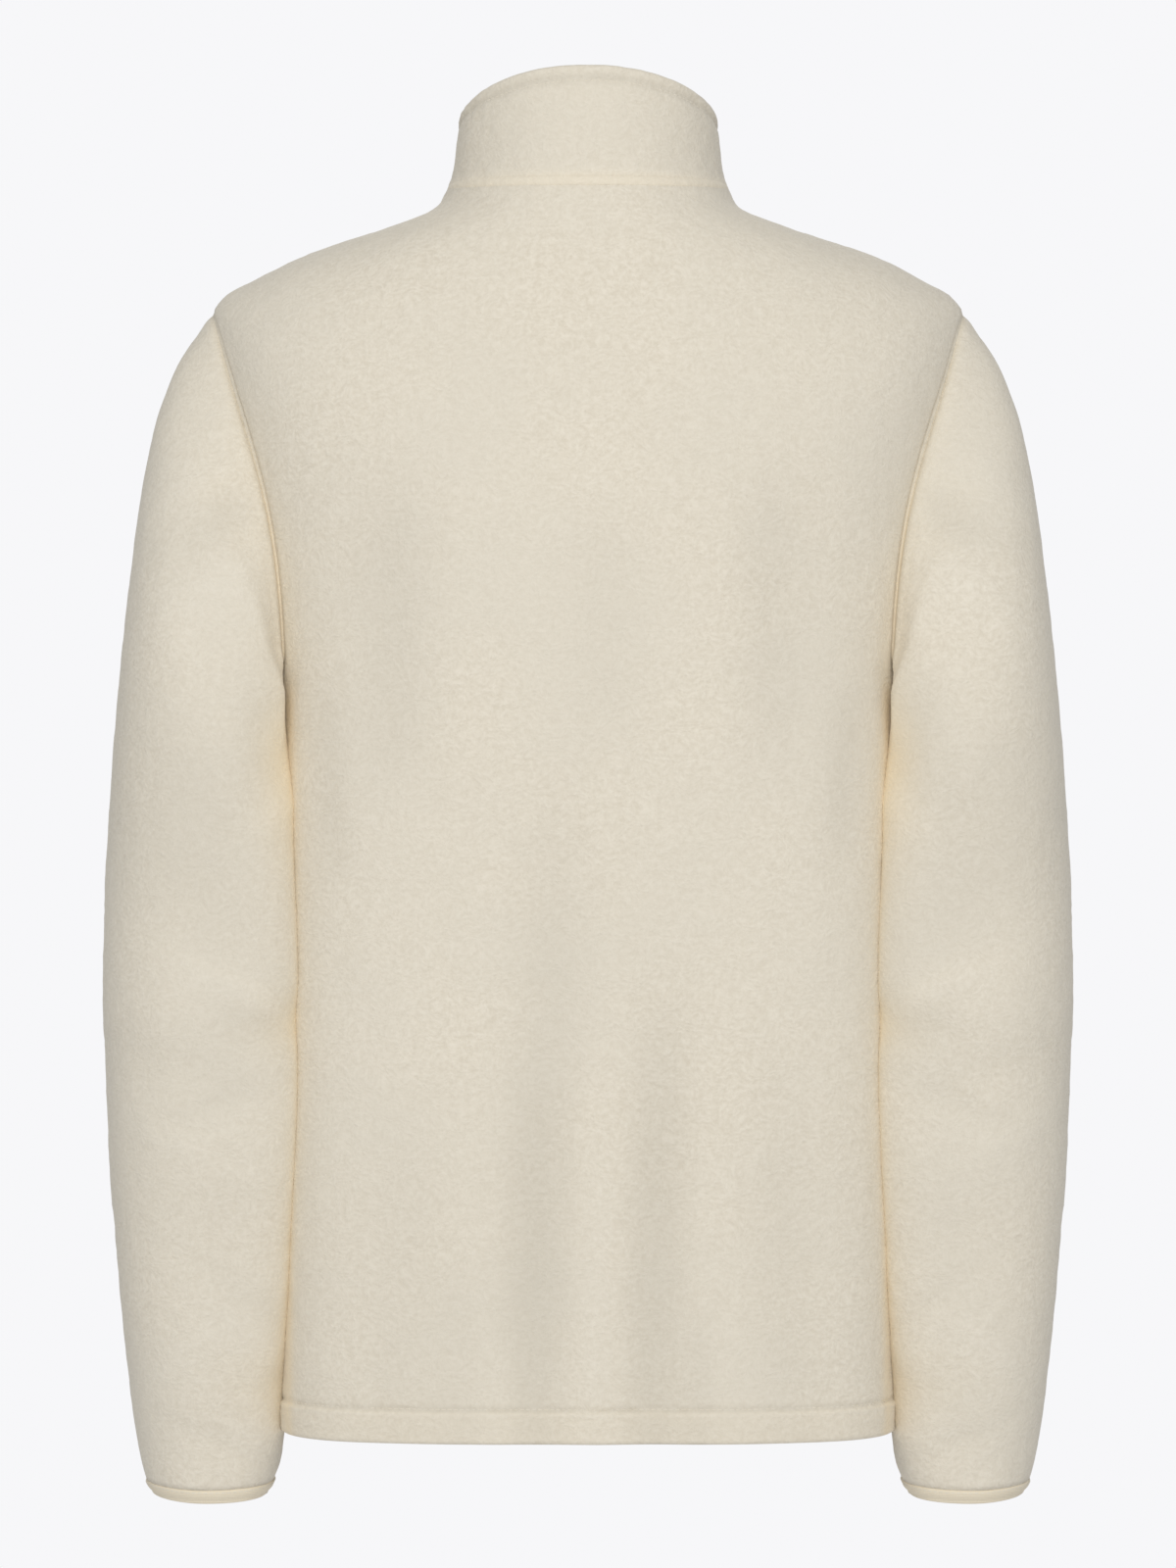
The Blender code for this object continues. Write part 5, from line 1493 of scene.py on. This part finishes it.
class JACKET_OT_sleeves(bpy.types.Operator):
    """Build the two set-in sleeves and the elastic binding at their cuffs"""

    bl_idname = "fleece_jacket.sleeves"
    bl_label = "Sleeves and cuffs"

    def execute(self, context):
        settings = context.scene.fleece_jacket
        outer, inner, shades, grid, normals = sleeve_surface()
        seam, seam_shades = armhole_seam_surface(grid, normals)
        sections, (sewn_line, sewn_out) = binding_surface(grid[-1], normals[-1])
        tape = look_of(
            "elastic_binding",
            tape_material,
            settings.binding_colour,
            (0.86, 0.75, 0.56),
            ("Z", 340.0),
        )
        for side, word in ((1, "left"), (-1, "right")):
            name = f"sleeve_{word}"
            sleeve = shell_object(
                f"{name}_cloth", mirrored(outer, side), mirrored(inner, side), shades, closed=True
            )
            dress(sleeve, fleece(), (name,))
            armhole = band_object(f"armhole_seam_{word}", mirrored(seam, side), seam_shades, True)
            dress(armhole, fleece())
            name = f"cuff_binding_{word}"
            loop = mirrored(sections, side)
            binding = band_object(f"{name}_tape", loop, np.zeros((*loop.shape[:2], 2)), True)
            dress(binding, tape, (name,))
            path = mirrored(np.concatenate([sewn_line, sewn_line[:1]]), side)
            out = mirrored(np.concatenate([sewn_out, sewn_out[:1]]), side)
            sewn = sew(f"cuff_stitches_{word}", [(path, out)], CUFF_STITCH_PROUD)
        return {"FINISHED"}


class JACKET_OT_collar(bpy.types.Operator):
    """Build the stand collar, folded at its rim, with a raised seam at its foot"""

    bl_idname = "fleece_jacket.collar"
    bl_label = "Collar"

    def execute(self, context):
        sections, shades, (outer, normals, up, rise) = collar_surface()
        collar = dress(
            band_object("collar_cloth", sections, shades, closed=False),
            fleece(),
            ("collar",),
        )
        dress(band_object("collar_seam", *collar_seam_surface(), False), fleece())
        row = int(np.argmin(np.abs(up[0] - (rise - COLLAR_STITCH_DROP))))
        inset = slice(8, -8)
        sewn = sew("collar_stitches", [(outer[inset, row], normals[inset, row])])
        return {"FINISHED"}


class JACKET_OT_stitching(bpy.types.Operator):
    """Sew the stitch lines of the hem and of the zip"""

    bl_idname = "fleece_jacket.stitching"
    bl_label = "Stitching"

    from_zip = 0.014
    side_gap = 0.004  # turn left free on each side of the side seam

    def execute(self, context):
        centre = centre_turn(self.from_zip, BODY, HEM_STITCH_UP)
        lines = [self.hem_line(np.linspace(-1.0, 1.0, 600) * (QUARTER - self.side_gap))]
        for side in (1, -1):
            turn = np.linspace(QUARTER + self.side_gap, centre, 300)
            lines.append(self.hem_line(side * turn))
        sew("hem_stitches", lines)
        lines = []
        for side in (1, -1):
            points, normals = front_line(side * ZIP_STITCH_OFFSET)
            keep = slice(14, -8)
            sunk = points[keep] - normals[keep] * STITCH_SINK * ZIP_STITCH_SINK
            lines.append((sunk, normals[keep]))
        sew("zip_stitches", lines)
        return {"FINISHED"}

    def hem_line(self, turn):
        """The sunk stitch line round the hem, at these angles."""
        up = np.full_like(turn, HEM_STITCH_UP)
        points, normals = folded_body(turn, up)
        relief = body_relief(points, FINE_BODY_CREASES) + hem_proud(up)
        relief += hem_relief(up, np.zeros_like(turn)) + HEM_STITCH_PROUD
        return points + normals * relief[:, None], normals


class JACKET_OT_zip(bpy.types.Operator):
    """Build the zip's coil and finish its tapes, slider, pull and box"""

    bl_idname = "fleece_jacket.zip"
    bl_label = "Zip"

    def execute(self, context):
        settings = context.scene.fleece_jacket
        low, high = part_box("zip_chain")
        line, facing = front_line(ZIP_LINE)
        rise = np.linspace(low.z - COIL_END, high.z + COIL_END, 300)
        points, normals = (
            np.stack([np.interp(rise, line[:, 2], column) for column in part.T], axis=-1)
            for part in (line, facing)
        )
        depth = CHAIN_DEPTH + hem_wall(np.interp(points[:, 2], *FRONT_FOOT))
        depth = depth - FLEECE + CHAIN_THICKNESS / 2
        points = points - normals * depth[:, None]
        core = seam_sections(points, normals, *CORE_SIZE)
        left, share = along_path(points, TOOTH_PITCH / 2, margin=1.0)
        middles = at_places(points, left, share)
        out = unit(at_places(normals, left, share))
        sideways = np.where(np.arange(len(left)) % 2 == 0, 1.0, -1.0)
        across = sideways[:, None] * np.array([1.0, 0.0, 0.0])
        middles = middles + across * (CHAIN_HALF - TOOTH_SIZE[0] / 2)
        coil = bead_object("zip_coil", middles, across, out, TOOTH_SIZE)
        nylon = look_of("zip_coil_nylon", coil_material, settings)
        dress(coil, nylon, ("zip_chain",))
        tape = look_of(
            "zip_tape_weave",
            tape_material,
            (0.76, 0.69, 0.56),
            (0.66, 0.59, 0.46),
            ("Z", 420.0),
        )
        bare = np.zeros((*core.shape[:2], 2))
        dress(band_object("zip_coil_core", core, bare, closed=False), tape)
        enamel = look_of("zip_enamel", coated_metal_material, settings)
        for name, look in (
            ("zip_tape_left", tape),
            ("zip_tape_right", tape),
            ("zip_box", enamel),
            ("zip_slider", enamel),
            ("zip_pull", enamel),
        ):
            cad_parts[name].data.materials.clear()
            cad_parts[name].data.materials.append(look)
        return {"FINISHED"}


class JACKET_OT_stage(bpy.types.Operator):
    """Set up the pale floor, the soft light and the camera behind the jacket"""

    bl_idname = "fleece_jacket.stage"
    bl_label = "Stage"

    camera_distance = 3.6
    camera_height = -0.3245
    view_height = 0.88
    sensor = 24.0
    floor_height = -1.45
    floor_radius = 2.6
    floor_grid = (12, 64)  # rings, and points in each
    softbox_size = 2.6
    key_place = (0.0, 3.2, 1.00)
    fill_place = (0.0, -3.3, 0.55)

    def execute(self, context):
        settings = context.scene.fleece_jacket
        self.make_floor()
        self.make_softbox("key_softbox", settings.key_power, self.key_place)
        self.make_softbox("fill_softbox", settings.fill_power, self.fill_place)
        self.make_dome(settings.dome_strength)
        self.make_camera()
        context.scene.view_settings.view_transform = "Standard"
        return {"FINISHED"}

    def make_floor(self):
        """A round floor, as rings of points from the middle out."""
        rings, around = self.floor_grid
        first = np.arange(around)
        angle = first * FULL_TURN / around
        radius = np.linspace(0.05, self.floor_radius, rings)[:, None]
        z = np.full((rings, around), self.floor_height)
        points = np.stack([radius * np.cos(angle), radius * np.sin(angle), z], axis=-1)
        middle = [[0.0, 0.0, self.floor_height]]
        points = np.concatenate([points.reshape(-1, 3), middle])
        quads = grid_quads(rings, around, True)
        triangles = np.stack([first, np.roll(first, -1), np.full(around, len(points) - 1)], -1)
        floor = mesh_object("floor", points, quads[:, ::-1], triangles[:, ::-1])
        floor.data.materials.append(look_of("pale_floor", wall_material, (0.88, 0.88, 0.89)))

    def make_softbox(self, name, power, place):
        """A square lamp that is turned to the middle of the jacket."""
        light = bpy.data.lights.new(name, "AREA")
        light.shape = "SQUARE"
        light.size = self.softbox_size
        light.energy = power
        light.color = (1.0, 0.995, 0.985)
        lamp = bpy.data.objects.new(name, light)
        lamp.location = place
        aim = np.array([0.0, 0.0, self.camera_height]) - np.array(place)
        tilt = math.atan2(aim[2], math.hypot(aim[0], aim[1]))
        lamp.rotation_euler = (QUARTER + tilt, 0.0, math.pi if place[1] > 0.0 else 0.0)
        bpy.context.scene.collection.objects.link(lamp)

    def make_dome(self, strength):
        """Even pale light from all round; behind the jacket the camera sees it paler."""
        world = bpy.data.worlds.new("pale_studio")
        bpy.context.scene.world = world
        world.use_nodes = True
        tree = world.node_tree
        lit = tree.nodes["Background"]
        lit.inputs["Color"].default_value = (0.95, 0.97, 1.0, 1.0)
        lit.inputs["Strength"].default_value = strength
        seen = tree.nodes.new("ShaderNodeBackground")
        seen.inputs["Color"].default_value = (0.930, 0.930, 0.946, 1.0)
        path = tree.nodes.new("ShaderNodeLightPath")
        choose = tree.nodes.new("ShaderNodeMixShader")
        tree.links.new(path.outputs["Is Camera Ray"], choose.inputs[0])
        tree.links.new(lit.outputs[0], choose.inputs[1])
        tree.links.new(seen.outputs[0], choose.inputs[2])
        tree.links.new(choose.outputs[0], tree.nodes["World Output"].inputs["Surface"])

    def make_camera(self):
        """A long lens that sees the view's full height at the jacket."""
        data = bpy.data.cameras.new("camera")
        data.sensor_fit = "VERTICAL"
        data.sensor_height = self.sensor
        data.lens = self.sensor * self.camera_distance / self.view_height
        camera = bpy.data.objects.new("camera", data)
        camera.location = (0.0, self.camera_distance, self.camera_height)
        camera.rotation_euler = (QUARTER, 0.0, math.pi)
        bpy.context.scene.collection.objects.link(camera)
        bpy.context.scene.camera = camera


class JACKET_PT_panel(bpy.types.Panel):
    """Lists the jacket's pieces and settings in the sidebar"""

    bl_idname = "JACKET_PT_panel"
    bl_label = "Fleece Jacket"
    bl_space_type = "VIEW_3D"
    bl_region_type = "UI"
    bl_category = "Fleece Jacket"

    def draw(self, context):
        for operator in OPERATORS:
            self.layout.operator(operator.bl_idname)
        for name in FleeceJacketSettings.__annotations__:
            self.layout.prop(context.scene.fleece_jacket, name)


OPERATORS = (
    JACKET_OT_back,
    JACKET_OT_fronts,
    JACKET_OT_sleeves,
    JACKET_OT_collar,
    JACKET_OT_stitching,
    JACKET_OT_zip,
    JACKET_OT_stage,
)
CLASSES = (FleeceJacketSettings, *OPERATORS, JACKET_PT_panel)


def register():
    for made in CLASSES:
        bpy.utils.register_class(made)
    bpy.types.Scene.fleece_jacket = bpy.props.PointerProperty(type=FleeceJacketSettings)


def unregister():
    del bpy.types.Scene.fleece_jacket
    for made in reversed(CLASSES):
        bpy.utils.unregister_class(made)


def main():
    register()
    for operator in OPERATORS:
        group, name = operator.bl_idname.split(".")
        getattr(getattr(bpy.ops, group), name)()


if __name__ == "__main__":
    main()
